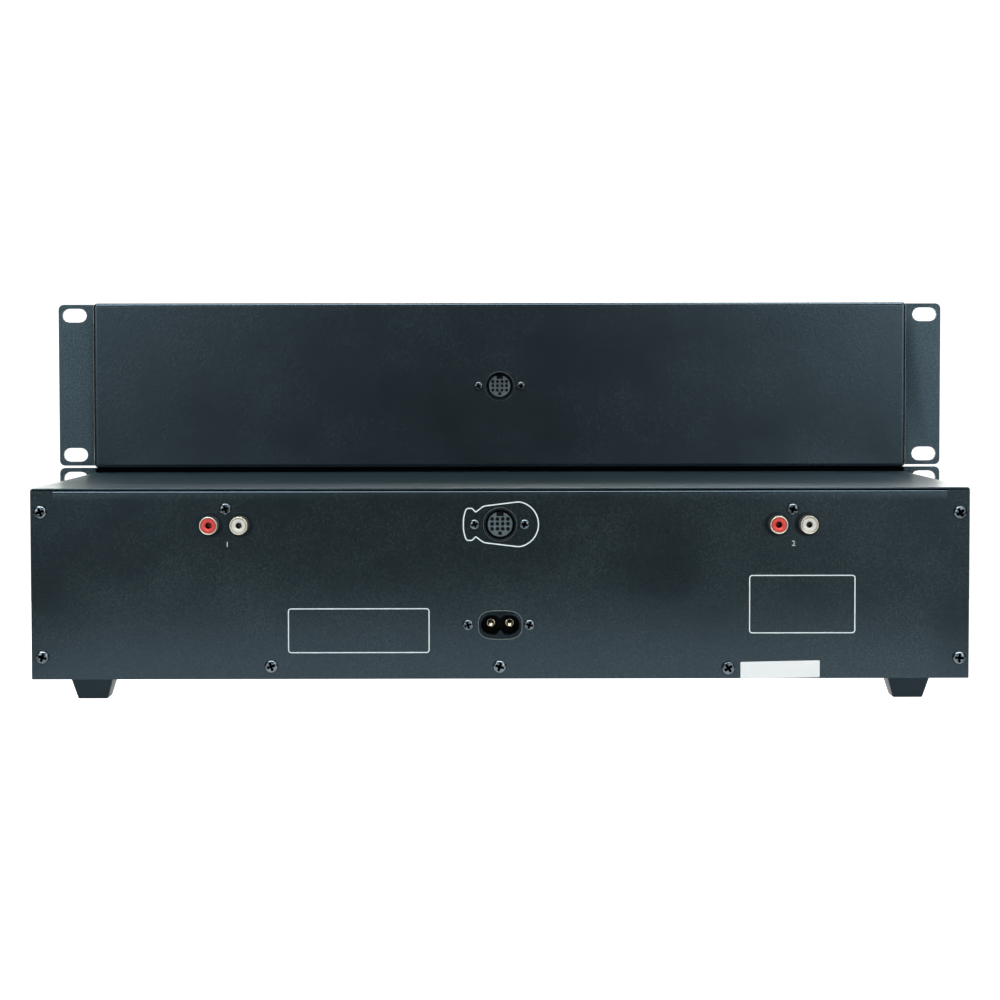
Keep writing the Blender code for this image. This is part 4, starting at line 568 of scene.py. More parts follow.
def mesh_of(name, grids, ring=True, outwards=True):
    """One mesh of several grids of points. Points that meet are merged, which closes seams and poles."""
    points, faces, first = [], [], 0
    for grid in grids:
        rows, columns = grid.shape[:2]
        points.append(grid.reshape(-1, 3))
        faces.append(grid_faces(rows, columns, ring) + first)
        first += rows * columns
    mesh = bpy.data.meshes.new(name)
    mesh.from_pydata(np.concatenate(points), [], np.concatenate(faces))
    shape = bmesh.new()
    shape.from_mesh(mesh)
    bmesh.ops.remove_doubles(shape, verts=shape.verts, dist=MERGE)
    if outwards:
        bmesh.ops.recalc_face_normals(shape, faces=shape.faces)
    shape.to_mesh(mesh)
    shape.free()
    return mesh


def make_piece(name, grids, finish, node, centre=(0, 0, 0), facing="up", replaced=False):
    """A piece of several grids, all put round one centre."""
    mesh = mesh_of(name, [placed(grid, centre, facing) for grid in grids])
    return add_mesh(name, mesh, finish, node, replaced)


def thicken(piece, thickness):
    """Gives an outer skin its wall, then rounds the cut edges."""
    wall = piece.modifiers.new("wall", 'SOLIDIFY')
    wall.thickness = thickness
    wall.offset = -1
    ease_edges(piece, EDGE)


def ease_edges(piece, width, segments=2):
    """Rounds the edges whose faces meet at more than forty degrees."""
    bevel = piece.modifiers.new("edges", 'BEVEL')
    bevel.width = width
    bevel.segments = segments
    bevel.limit_method = 'ANGLE'
    bevel.angle_limit = math.radians(40)
    bevel.harden_normals = True


def softened(node, width, finish, name=None):
    """The CAD's own shape with its edges rounded: a copy whose triangles are merged into flat faces."""
    name = name or f"{node}_shaped"
    shape = bmesh.new()
    shape.from_mesh(frame["nodes"][node].data)
    bmesh.ops.remove_doubles(shape, verts=shape.verts, dist=MERGE)
    bmesh.ops.dissolve_limit(shape, angle_limit=math.radians(1), verts=shape.verts, edges=shape.edges)
    mesh = bpy.data.meshes.new(name)
    shape.to_mesh(mesh)
    shape.free()
    ease_edges(add_mesh(name, mesh, finish, node, True), width)


# Places from the frame

def middle(node):
    """The middle of a node's box."""
    low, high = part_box(node)
    return (low + high) / 2


def extent(node):
    """Width, depth and height of a node's box."""
    low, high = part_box(node)
    return np.subtract(high, low)


BODY_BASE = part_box("drive_cover")[0].z
BODY_HALF, COVER_REAR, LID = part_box("drive_cover")[1]
COVER_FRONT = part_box("drive_cover")[0].y
PLATE_HALF, REAR, PLATE_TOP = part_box("drive_rear_panel")[1]
BOX_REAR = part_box("control_box")[1].y
PANEL_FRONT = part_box("control_panel")[0].y
SOCKET_Z = middle("drive_link_socket").z
LINK_Z = middle("control_link_socket").z
INLET_Z = middle("mains_inlet").z


# Folded sheets

def upright(line, y):
    """A line of across and up, stood at one depth."""
    return np.insert(line, 1, y, axis=1)


def make_cover():
    """The lid and both sides: a folded line carried from front to rear, and two flanges at the rear."""
    near = 3 * FOLD
    half = [(BODY_HALF, BODY_BASE), (BODY_HALF, LID - near), (BODY_HALF, LID), (BODY_HALF - near, LID)]
    line = eased([(-x, z) for x, z in half] + half[::-1], (EDGE, FOLD, EDGE, EDGE, FOLD, EDGE), 7)
    grids = [np.stack([upright(line, y) for y in (COVER_FRONT, COVER_REAR)])]
    low, high = BODY_BASE + SHEET + FLANGE_LOW, LID - COVER_SHEET - FLANGE_DROP
    for side in HANDS:
        across = sorted((side * (BODY_HALF - COVER_SHEET), side * (BODY_HALF - FLANGE_REACH)), reverse=True)
        grids.append(np.array([[(x, REAR - SHEET - GAP, z) for x in across] for z in (low, high)]))
    mesh = mesh_of("cover", grids, ring=False, outwards=False)
    thicken(add_mesh("cover", mesh, LID_SHEEN_COAT, "drive_cover", True), COVER_SHEET)


def plate_cell(low, high, centre, radius_at):
    """A square of plate round a hole: its edge in even steps, and the hole's outline at the same angles."""
    steps = np.arange(CELL_STEPS) / CELL_STEPS
    side = np.column_stack([np.full(CELL_STEPS, CELL_HALF), low + (high - low) * steps])
    top = np.column_stack([CELL_HALF - 2 * CELL_HALF * steps, np.full(CELL_STEPS, high)])
    edge = np.vstack([side, top, *((0, low + high) - line for line in (side, top))])
    angle = np.arctan2(edge[:, 1] - centre, edge[:, 0])
    hole = radius_at(angle)[:, None] * ray(angle) + (0, centre)
    cell = np.stack([upright(loop, REAR) for loop in (edge, (edge + hole) / 2, hole)])
    return np.concatenate([cell, cell[:, :1]], 1)


def snout_radius(angle, grow=0.0):
    """The distance to the mains inlet's outline at an angle."""
    return power_curve(angle, SNOUT_WIDTH / 2 + grow, SNOUT_HEIGHT / 2 + grow, SNOUT_POWER)


def make_rear_plate():
    """The rear panel. Rows climb it and roll over at the top into the lip, except beside the lip's ends,
    where the plate stays flat and stands a little higher."""
    parting = (SOCKET_Z + INLET_Z) / 2
    start = PLATE_TOP + LIP_RISE - LIP_FOLD
    heights = np.concatenate([np.linspace(BODY_BASE, parting, CELL_STEPS + 1)[:-1],
                              np.linspace(parting, start, CELL_STEPS + 1)])
    top, tab_top = PLATE_TOP + LIP_RISE, PLATE_TOP + TAB_RISE
    roll = eased([(REAR, start - LIP_DEPTH), (REAR, top), (REAR - LIP_DEPTH, top)], LIP_FOLD, 8)[2:]
    climb = np.vstack([np.column_stack([np.full(len(heights), REAR), heights]), roll])
    flat_line = climb.copy()
    flat_line[:, 0] = REAR
    flat_line[len(heights):, 1] = np.linspace(start, tab_top, len(roll) + 1)[1:]

    def columns(stations, line):
        """The same line at several places across."""
        return np.stack([np.insert(line, 0, x, axis=1) for x in stations], 1)

    grids = []
    for side in HANDS:
        stations = (*(PLATE_HALF - TAB_CORNER[:, 0]), LIP_REACH + 2 * LIP_RELIEF, LIP_REACH + LIP_RELIEF)
        flat = columns([side * x for x in stations], flat_line)
        share = np.clip((flat[..., 2] - start) / (tab_top - start), 0, 1)
        flat[:, :3, 2] -= share[:, :3] * TAB_CORNER[:, 1]
        rolled = columns((side * LIP_REACH, side * CELL_HALF), climb)
        grids.append(np.concatenate([flat, rolled], 1)[:, ::side])
    grids += [columns(np.linspace(CELL_HALF, -CELL_HALF, CELL_STEPS + 1), climb[len(heights) - 1:]),
              plate_cell(BODY_BASE, parting, INLET_Z, lambda angle: snout_radius(angle, GAP)),
              plate_cell(parting, start, SOCKET_Z, lambda angle: np.full(len(angle), RING_RADIUS + GAP))]
    mesh = mesh_of("rear_plate", grids, ring=False)
    thicken(add_mesh("rear_plate", mesh, REAR_COAT, "drive_rear_panel", True), SHEET)


def make_control_shell():
    """The control unit's box: its outline carried back, rolled over the rear edge and drawn in to the
    socket's hole."""
    low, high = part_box("control_box")
    width, depth, height = extent("control_box")
    centre = (0, low.y, (low.z + high.z) / 2)
    along = np.linspace(-1, 1, 13)[1:-1] * (width / 2 - 4 * BOX_FOLD)
    across = np.linspace(-1, 1, 5)[1:-1] * (height / 2 - 4 * BOX_FOLD)
    loop = np.vstack([rounded_rectangle(width, height, 1.2 * BOX_FOLD, 7),
                      *(np.insert(along[:, None], 1, side * height / 2, axis=1) for side in HANDS),
                      *(np.insert(across[:, None], 0, side * width / 2, axis=1) for side in HANDS)])
    loop = loop[np.argsort(np.arctan2(loop[:, 1], loop[:, 0]))]
    roll = eased([(0, 0), (0, depth), (depth, depth)], BOX_FOLD, 8)[:-1]
    rings = [(drawn_in(loop, inset), out) for inset, out in (*roll, (1.1 * BOX_FOLD, depth))]
    hole = (RING_RADIUS + GAP) * ray(np.arctan2(loop[:, 1], loop[:, 0])) + (0, LINK_Z - centre[2])
    box = make_piece("control_shell", [ringed(*rings, (hole, depth))], BOX_COAT, "control_box", centre,
                     "rear", True)
    thicken(box, SHEET)


# Sockets on the rear

def make_line_outs():
    """Two phono sockets on each moulded block: a collar, a plated barrel, and a coloured liner. A near-black
    sleeve down each bore is painted shade.
    """
    back = -SHEET - GAP - JACK_BODY_DEPTH
    inner = JACK_BARREL - JACK_WALL
    collar = eased([(0, back / 4), (JACK_COLLAR, back / 4), (JACK_COLLAR, JACK_COLLAR_RISE),
                    (inner, JACK_COLLAR_RISE)], EDGE)
    barrel = eased([(inner, 0), (JACK_BARREL, 0), (JACK_BARREL, JACK_REACH), (inner, JACK_REACH),
                    (inner, 0)], EDGE)
    top = JACK_REACH - JACK_LINER_SINK
    groove, step, end = inner - JACK_LINER_GROOVE, top - JACK_LINER_STEP, top - JACK_BORE_DEPTH
    liner = eased([(inner, 0), (inner, step), (groove, step), (groove, top), (JACK_LINER_FACE, top),
                   (JACK_BORE, top - JACK_LINER_SLOPE), (JACK_BORE, end), (0, end)], EDGE / 2)
    tip, thin = top - JACK_BORE_SHADE_SINK, JACK_BORE - JACK_BORE_SHADE_WALL
    bore_shade = eased([(JACK_BORE, end), (JACK_BORE, tip), (thin, tip), (thin, end)], EDGE / 4)
    for side in SIDES:
        node = f"line_out_{side}"
        x, _, z = middle(node)
        width, _, height = extent(node)
        places = [(x + hand * JACK_PITCH / 2, REAR, SOCKET_Z) for hand in HANDS]

        def on_jacks(profile, sides=48):
            """A profile turned round each of the two sockets' axes."""
            return [placed(turned(profile, sides), place, "rear") for place in places]

        body = raised(rounded_rectangle(width, height, 4 * EDGE),
                      [(EDGE, back), (0, back + EDGE), (0, -SHEET - GAP)])
        make_piece(f"jack_body_{side}", [placed(body, (x, REAR, z), "rear"), *on_jacks(collar)],
                   BLACK_MOULD, node, replaced=True)
        make_piece(f"jack_barrels_{side}", on_jacks(barrel), NICKEL, node)
        make_piece(f"jack_bore_shades_{side}", on_jacks(bore_shade, 24), RECESS_SHADE, node)
        for colour, finish, grid in zip(("white", "red"), (WHITE_LINER, RED_LINER), on_jacks(liner)):
            make_piece(f"jack_liner_{colour}_{side}", [grid], finish, node)


PIN_HOLES = np.array([((pin - (count - 1) / 2) * PIN_PITCH, row) for row, count in PIN_ROWS
                      for pin in range(count)])


def pin_face():
    """The insulator: a disc in polar steps. A point is sunk by smooth steps of its distance to the
    nearest pin hole, and of its distance into the key notch."""
    share, angle = np.linspace(0, 1, CORE_RINGS)[:, None], full_turn(CORE_SIDES)
    across, up = CORE_RADIUS * share * np.cos(angle), CORE_RADIUS * share * np.sin(angle)
    nearest = np.hypot(across[..., None] - PIN_HOLES[:, 0], up[..., None] - PIN_HOLES[:, 1]).min(-1)
    sunk = smooth_step((PIN_HOLE + EDGE / 2 - nearest) / EDGE)
    notch = (smooth_step((KEY_NOTCH_WIDTH / 2 - np.abs(across)) / EDGE)
             * smooth_step((up - CORE_RADIUS + KEY_NOTCH_HEIGHT) / EDGE))
    disc = np.stack([across, up, -CORE_SINK - PIN_HOLE_DEPTH * sunk - 2 * PIN_HOLE_DEPTH * notch], -1)
    return np.concatenate([disc, ringed((circle(CORE_RADIUS, CORE_SIDES), -CAVITY_DEPTH))])


def make_round_socket(name, node, face, z):
    """A 13-pin socket: ring and cavity, flange behind the sheet, and the insulator with its holes. Near-black
    plugs in the pin holes and the key notch are painted shade.
    """
    width, _, height = extent(node)
    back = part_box(node)[0].y - face
    profile = eased([(0, -CAVITY_DEPTH), (RING_INNER, -CAVITY_DEPTH), (RING_INNER, RING_RISE),
                     (RING_RADIUS, RING_RISE), (RING_RADIUS, -SHEET - GAP)], EDGE)
    angle = full_turn(RING_SIDES)
    flange = power_curve(angle, width / 2, height / 2, FLANGE_POWER)[:, None] * ray(angle)
    ring = circle(RING_RADIUS, RING_SIDES)
    shell = np.concatenate([turned(profile, RING_SIDES),
                            ringed((flange, -SHEET - GAP), (flange, -SHEET - FLANGE),
                                   (ring, -SHEET - FLANGE), (ring, back), (ring * 0, back))])
    floor, front = -CORE_SINK - PIN_HOLE_DEPTH, -CORE_SINK - EDGE
    plug = turned([(0, floor), (PIN_HOLE, floor), (PIN_HOLE, front), (0, front)], 24)
    key = raised(rounded_rectangle(KEY_NOTCH_WIDTH, KEY_NOTCH_HEIGHT, EDGE), [(0, floor), (0, front)])
    hole_shade = [*(plug + (*hole, 0) for hole in PIN_HOLES), key + (0, CORE_RADIUS - KEY_NOTCH_HEIGHT / 2, 0)]
    # A pale ring round the sheet's hole: painted highlight of its cut edge.
    edge = carried(circle(RING_RADIUS, 96), HOLE_EDGE, HOLE_EDGE, True)
    for ending, grids, finish in (("ring", [shell], SOCKET_MOULD), ("core", [pin_face()], CORE_MOULD),
                                  ("hole_shade", hole_shade, RECESS_SHADE), ("edge", [edge], EDGE_HIGHLIGHT)):
        make_piece(f"{name}_{ending}", grids, finish, node, (0, face, z), "rear", ending == "ring")


def waisted_outline():
    """The figure-eight recess: two half rounds, joined by straight stretches with a notch in each."""
    end = RECESS_HEIGHT / 2
    right = end * ray(np.linspace(-math.pi / 2, math.pi / 2, 25)) + (RECESS_WIDTH / 2 - end, 0)
    flank = np.array([(1, 0), (0.5, 0.6), (0.2, 1), (-0.2, 1), (-0.5, 0.6), (-1, 0)])
    upper = flank * (NOTCH_HALF, -NOTCH_DROP) + (0, end)
    lower = -flank * (NOTCH_HALF, -NOTCH_CLIMB) - (0, end)
    return np.vstack([right, upper, -right, lower])


def make_inlet():
    """The mains inlet: snout, figure-eight recess and flange, and two round pins. The body with its recess is
    near-black with little sheen, painted shade in the recess.
    """
    recess = waisted_outline()
    angle = np.arctan2(recess[:, 1], recess[:, 0])
    outer = ray(angle) * snout_radius(angle)[:, None]
    width, _, height = extent("mains_inlet")
    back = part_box("mains_inlet")[0].y - REAR
    flange = ray(angle) * power_curve(angle, width / 2, height / 2, FLANGE_POWER)[:, None]
    seam, floor = -SHEET / 2, -RECESS_DEPTH
    body = ringed((outer * 0, back), (outer, back), (outer, -SHEET - FLANGE), (flange, -SHEET - FLANGE),
                  (flange, -SHEET - GAP), (outer, -SHEET - GAP), (outer, seam), (recess, seam),
                  (recess, floor), (recess * 0, floor))
    rim = ringed((outer, seam), (outer, SNOUT_RISE - SNOUT_EDGE),
                 (drawn_in(outer, SNOUT_EDGE / 3), SNOUT_RISE - SNOUT_EDGE / 3),
                 (drawn_in(outer, SNOUT_EDGE), SNOUT_RISE), (drawn_in(recess, -EDGE), SNOUT_RISE),
                 (recess, SNOUT_RISE - EDGE), (recess, seam), (outer, seam))
    turn = full_turn(120)
    line = snout_radius(turn, GAP / 2)[:, None] * ray(turn)
    tip, wide = MAINS_PIN_LENGTH - RECESS_DEPTH, MAINS_PIN_RING
    pin = eased([(0, tip), (MAINS_PIN_RADIUS, tip), (MAINS_PIN_RADIUS, floor), (0, floor)],
                (MAINS_PIN_TIP, EDGE), 7)
    seat = eased([(MAINS_PIN_RADIUS, floor), (wide, floor), (wide, MAINS_PIN_RING_RISE + floor),
                  (wide - EDGE, MAINS_PIN_RING_RISE + floor), (wide - EDGE, floor),
                  (MAINS_PIN_RADIUS, floor)], EDGE / 3)
    pins = [turned(profile, 32) + (-hand * MAINS_PIN_PITCH / 2, 0, 0) for hand in HANDS
            for profile in (pin, seat)]
    # The pale ring round the hole is a painted highlight of the sheet's cut edge.
    for ending, grids, finish in (("body", [body], RECESS_SHADE), ("rim", [rim], SNOUT_MOULD),
                                  ("edge", [carried(line, HOLE_EDGE, HOLE_EDGE, True)], EDGE_HIGHLIGHT),
                                  ("pins", pins, PIN_METAL)):
        make_piece(f"inlet_{ending}", grids, finish, "mains_inlet", (0, REAR, INLET_Z), "rear",
                   ending == "body")


# Screws

def make_screws(name, node, radius, places, face, facing="rear"):
    """Pan heads on one face, each turned a little further than the last."""
    heads = [placed(cross_head(radius, FIRST_TURN + NEXT_TURN * number), (x, face, z), facing)
             for number, (x, z) in enumerate(places)]
    make_piece(f"{name}_screws", heads, SCREW_BLACK, node)


# name, node that they ride with, radius, face, height that the places count from, places
REAR_SCREWS = (
    ("corner", "drive_rear_panel", CORNER_SCREW, REAR, BODY_BASE,
     ((0.2089, 0.0764), (0.20845, 0.0102), (-0.20897, 0.07565), (-0.20895, 0.0093))),
    ("lower", "drive_rear_panel", CORNER_SCREW, REAR, BODY_BASE,
     ((0.1043, 0.0059), (0.0003, 0.0056), (-0.1038, 0.0048))),
    ("jack", "drive_rear_panel", JACK_SCREW, REAR, BODY_BASE, ((0.1248, 0.0777), (-0.13297, 0.0772))),
    ("drive_socket", "drive_rear_panel", SOCKET_SCREW, REAR, SOCKET_Z, ((0.0116, 0), (-0.0111, 0))),
    ("inlet", "drive_rear_panel", INLET_SCREW, REAR, INLET_Z, ((0.0147, 0), (-0.0133, 0))),
    ("control_socket", "control_box", SOCKET_SCREW, BOX_REAR, LINK_Z, ((0.0112, 0), (-0.0112, 0))))


# Printed marks on the rear

def printed(name, path, width, x, z):
    """A printed line along a closed path."""
    make_piece(name, [carried(path, width, INK, True)], INK_WHITE, "drive_rear_panel", (x, REAR, z), "rear")


def make_plug_line():
    """The outline of the lead's plug round the drive unit's socket: a bump, a neck and a round body."""
    body_radius, body_x = 0.0104, 0.0071
    far = [(body_x + body_radius * math.cos(a), body_radius * math.sin(a))
           for a in np.linspace(-0.45 * math.pi, 0.45 * math.pi, 15)]
    near = [(-0.0075, 0.0083), (-0.0111, 0.0056), (-0.0127, 0.0073), (-0.0154, 0.0073), (-0.0166, 0.0031),
            (-0.0167, 0.0)]
    lower = [(x, -up) for x, up in reversed(near[:-1])]
    near_radii = [0.0012, 0.0002, 0.0007, 0.0013, 0.0016]
    radii = np.array([0.002] * len(far) + near_radii + [0.0016] + near_radii[::-1])
    printed("plug_line", eased_loop(far + near + lower, radii, 6), PLUG_LINE, 0, SOCKET_Z)


def make_frames():
    """Two empty printed frames with rounded corners."""
    for name, left, right, top, low in (("long_frame", -0.0964, -0.0324, 0.0321, 0.0121),
                                        ("square_frame", 0.1135, 0.1614, 0.0470, 0.0208)):
        printed(name, rounded_rectangle(right - left, top - low, FRAME_CORNER), FRAME_LINE,
                -(left + right) / 2, BODY_BASE + (top + low) / 2)


def make_label():
    """A blank label at the lower edge, a little tilted: it climbs by a share of the way across."""
    grid = raised(rounded_rectangle(0.0361, 0.0077, 0.0004), [(0, 0), (0, INK), (INK, 2 * INK)])
    grid[..., 1] += LABEL_TILT * grid[..., 0]
    make_piece("blank_label", [grid], LABEL_WHITE, "drive_rear_panel",
               (-0.12745, REAR, BODY_BASE + 0.0040), "rear")


def make_digit(name, text, x):
    """A plain number under a pair of line outputs."""
    letters = bpy.data.curves.new(name, 'FONT')
    letters.body = text
    letters.size = DIGIT_HEIGHT
    letters.extrude = INK
    letters.align_x = letters.align_y = 'CENTER'
    maker = bpy.data.objects.new(name, letters)
    mesh = bpy.data.meshes.new_from_object(maker)
    bpy.data.objects.remove(maker)
    points = np.zeros(len(mesh.vertices) * 3)
    mesh.vertices.foreach_get("co", points)
    centre = (x, REAR + INK, BODY_BASE + DIGIT_RISE)
    mesh.vertices.foreach_set("co", placed(points.reshape(-1, 3), centre, "rear").ravel())
    add_mesh(name, mesh, INK_WHITE, "drive_rear_panel")


# Feet

def make_foot(node):
    """A block whose rounded outline narrows towards the ground and rolls over at the bottom."""
    width, depth, height = extent(node)
    width += FOOT_SPREAD
    taper = (1 - FOOT_TAPER) / 2 * width
    side = eased([(0, 0), (taper * 0.96, height), (4 * taper, height)], FOOT_ROUNDING)
    loop = rounded_rectangle(width, depth, 0.0011)
    rings = [(loop * (1 - 2 * inset / width), out) for inset, out in side]
    low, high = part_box(node)
    make_piece(f"{node}_block", [ringed((loop * 0, 0), *rings, (loop * 0, height))], FOOT_RUBBER, node,
               ((low.x + high.x) / 2, (low.y + high.y) / 2, high.z), "down", True)


def make_gap_shade_strip():
    """A near-black strip with no sheen under the control unit's box, just in from its rear edge: painted
    shade that keeps the gap under the box dark.
    """
    low, top = LID + INK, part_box("control_box")[0].z
    grid = raised(rounded_rectangle(2 * STRIP_REACH, STRIP_DEPTH, STRIP_DEPTH / 3),
                  [(0, top - low), (0, EDGE), (EDGE, 0)])
    make_piece("gap_shade_strip", [grid], GAP_SHADE_BLACK, "control_box",
               (0, BOX_REAR - STRIP_INSET - STRIP_DEPTH / 2, low))


# Fronts

def front_centre(node):
    """The place on the front panel before a node's middle."""
    return np.array([middle(node).x, PANEL_FRONT, middle(node).z])


def front_piece(node, ending, grids, finish, replaced=False):
    """A piece at a node's place on the front."""
    make_piece(f"{node}_{ending}", grids, finish, node, front_centre(node), "front", replaced)


def stem(node, start):
    """A round stem from behind a key to the back of its box."""
    end = PANEL_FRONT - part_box(node)[1].y
    return turned([(0, end), (KEY_STEM, end), (KEY_STEM, start), (0, start)], 20)


def dished(half_height):
    """The face of a key: a rolled edge, then a smooth step down to a flat floor."""
    way = np.linspace(0, 1, 6)[1:]
    edge = eased([(0, RIM_FRONT), (0, KEY_REACH), (KEY_BORDER, KEY_REACH)], KEY_EDGE)
    inset = KEY_BORDER + way * (DISH_SHARE * half_height - KEY_BORDER)
    return [*edge[1:], *zip(inset, KEY_REACH - KEY_DISH * smooth_step(way))]


def rim(margin):
    """What stays behind the panel: it stands out by the margin, and ends at the key's or pane's side."""
    return [(-margin, RIM_BACK), (-margin, RIM_FRONT), (0, RIM_FRONT)]


def make_key(node, finish):
    """A push key: a rim that stays behind the panel, a dished cap and a stem."""
    width, _, height = extent(node) - 2 * KEY_MARGIN
    cap = raised(rounded_rectangle(width, height, KEY_CORNER), [*rim(KEY_MARGIN), *dished(height / 2)])
    front_piece(node, "cap", [cap, stem(node, RIM_BACK)], finish, True)


def make_rocker(node):
    """A two-way key. Its face falls from both ends towards the middle."""
    width, _, height = extent(node)
    cap = raised(rounded_rectangle(width, height, KEY_CORNER), [(0, -PANEL_DEPTH), *dished(height / 2)])
    fall = ROCKER_FALL * (1 - np.abs(cap[..., 0]) / (width / 2))
    cap[..., 2] -= np.where(cap[..., 2] > 0, fall, 0)
    front_piece(node, "cap", [cap, stem(node, -PANEL_DEPTH)], GREY_MOULD, True)


def make_jog(node):
    """A wheel in polar steps. Its face is a shallow dish, lowered to a sphere where the finger goes, and
    its side is waved by a cosine of the angle."""
    low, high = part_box(node)
    radius, reach, back = extent(node)[0] / 2, PANEL_FRONT - low.y, PANEL_FRONT - high.y
    angle = full_turn(JOG_SIDES)
    distance = np.linspace(0, radius - JOG_BEVEL, JOG_RINGS)[:, None]
    plane = distance[..., None] * ray(angle)
    away = np.hypot(plane[..., 0], plane[..., 1] - DIMPLE_SHARE * radius)
    dish = JOG_DISH * smooth_step((JOG_DISH_SHARE * radius - distance) / (JOG_DISH_FADE * radius))
    ball = DIMPLE_RADIUS - DIMPLE_DEPTH - np.sqrt(np.maximum(DIMPLE_RADIUS ** 2 - away ** 2, 0))
    top = np.concatenate([plane, (reach + np.minimum(-dish, ball))[..., None]], -1)
    wave = (1 - JOG_WAVE * (0.5 + 0.5 * np.cos(JOG_GRIPS * angle)))[:, None]
    edge = eased([(radius - JOG_BEVEL, reach), (radius, reach - 2 * JOG_BEVEL), (radius, JOG_LIFT)],
                 JOG_BEVEL / 2)[1:-1]
    grip = [(ray(angle) * radius * (wave if waved else 1), out)
            for waved, out in ((0, reach - GRIP_FRONT), (1, reach - GRIP_FRONT - GRIP_RAMP),
                               (1, GRIP_BACK + GRIP_RAMP), (0, GRIP_BACK))]
    foot = turned([(radius, JOG_LIFT), (JOG_SHAFT, JOG_LIFT), (JOG_SHAFT, back), (0, back)], JOG_SIDES)
    wheel = np.concatenate([top, turned(edge, JOG_SIDES), ringed(*grip), foot])
    front_piece(node, "disc", [wheel], DARK_MOULD, True)
    line = carried(circle(JOG_LINE_SHARE * radius, 96), JOG_LINE, INK, True)
    line[..., 2] += reach - JOG_DISH
    line = np.roll(line[:-1], -24, 0)
    lower = line[np.abs(np.arctan2(line[:, 0, 0], line[:, 0, 1])) > JOG_LINE_FROM]
    front_piece(node, "line", [capped(lower)], INK_GREY)


def make_slider(node):
    """A fader's knob, hollowed for the finger, with a line across and its thin stem."""
    low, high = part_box(node)
    width, _, height = extent(node)
    reach = PANEL_FRONT - low.y
    face = [(inset, reach - back) for inset, back in SLIDER_FACE]
    cap = raised(rounded_rectangle(width, height, 0.0010), [(0, JOG_LIFT), (0, reach - 0.0030), *face])
    spine = raised(rounded_rectangle(SLIDER_STEM, SLIDER_STEM_HEIGHT, EDGE),
                   [(0, PANEL_FRONT - high.y), (0, 2 * JOG_LIFT)])
    front_piece(node, "cap", [cap, spine], GREY_MOULD, True)
    line = block((width - 0.0090, 0.0008, INK), 0.0003, INK / 3, reach - SLIDER_FACE[-1][1])
    front_piece(node, "line", [line], INK_WHITE)


def make_door(node):
    """A tray's door: a plate with a fine groove inside its edge."""
    low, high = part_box(node)
    width, _, height = extent(node)
    proud, back = PANEL_FRONT - low.y, PANEL_FRONT - high.y
    profile = [(0, back), *eased([(0, back), (0, proud), (DOOR_BORDER, proud)], GROOVE)[1:],
               (DOOR_BORDER + GROOVE_SLOPE, proud - GROOVE),
               (DOOR_BORDER + GROOVE_WIDTH - GROOVE_SLOPE, proud - GROOVE),
               (DOOR_BORDER + GROOVE_WIDTH, proud)]
    plate = raised(rounded_rectangle(width, height, DOOR_CORNER), profile)
    front_piece(node, "plate", [plate], PANEL_COAT, True)


# Strokes of each figure, and a stroke's place in steps across and up, and whether it stands
SEGMENTS = {"0": "abcdef", "1": "bc", "2": "abged", "3": "abgcd", "4": "fgbc", "5": "afgcd"}
SEGMENT_PLACES = {"a": (0, 2, 0), "b": (1, 1, 1), "c": (1, -1, 1), "d": (0, -2, 0), "e": (-1, -1, 1),
                  "f": (-1, 1, 1), "g": (0, 0, 0)}


def digit_grids(text, across, up):
    """A number of seven-stroke digits: each stroke is a bar that narrows to a point at both ends."""
    half, thick = SEGMENT_HALF, SEGMENT_THICK
    bar = np.array([(half, 0), (half - thick, thick), (thick - half, thick), (-half, 0),
                    (thick - half, -thick), (half - thick, -thick)])
    step = half + thick / 2
    grids = []
    for number, figure in enumerate(text):
        for stroke in SEGMENTS[figure]:
            place_x, place_z, stands = SEGMENT_PLACES[stroke]
            grid = raised(bar[:, ::-1] * (-1, 1) if stands else bar, [(0, 0), (0, INK)])
            grids.append(grid + (across + number * DIGIT_PITCH + place_x * step, up + place_z * step, 0))
    return grids


def make_display(node, track, time):
    """A dark pane with its rim, and lit digits on it, with a row of short bars above them."""
    width, _, height = extent(node) - 2 * WINDOW_MARGIN
    profile = [*rim(WINDOW_MARGIN), *eased([(0, RIM_FRONT), (0, 0), (0.0010, 0)], EDGE)[1:]]
    front_piece(node, "pane", [raised(rounded_rectangle(width, height, 0.0012), profile)], SMOKED, True)
    grids = [grid for text, share in zip((track, time[:2], time[2:]), NUMBER_SHARES)
             for grid in digit_grids(text, share * width, DIGIT_DROP)]
    bar = block((0.0028, 0.0010, INK), EDGE, INK / 3)
    grids += [bar + (NUMBER_SHARES[0] * width + step * METER_PITCH, METER_SHARE * height, 0)
              for step in range(METER_BARS)]
    front_piece(node, "digits", grids, LIT_DIGITS)


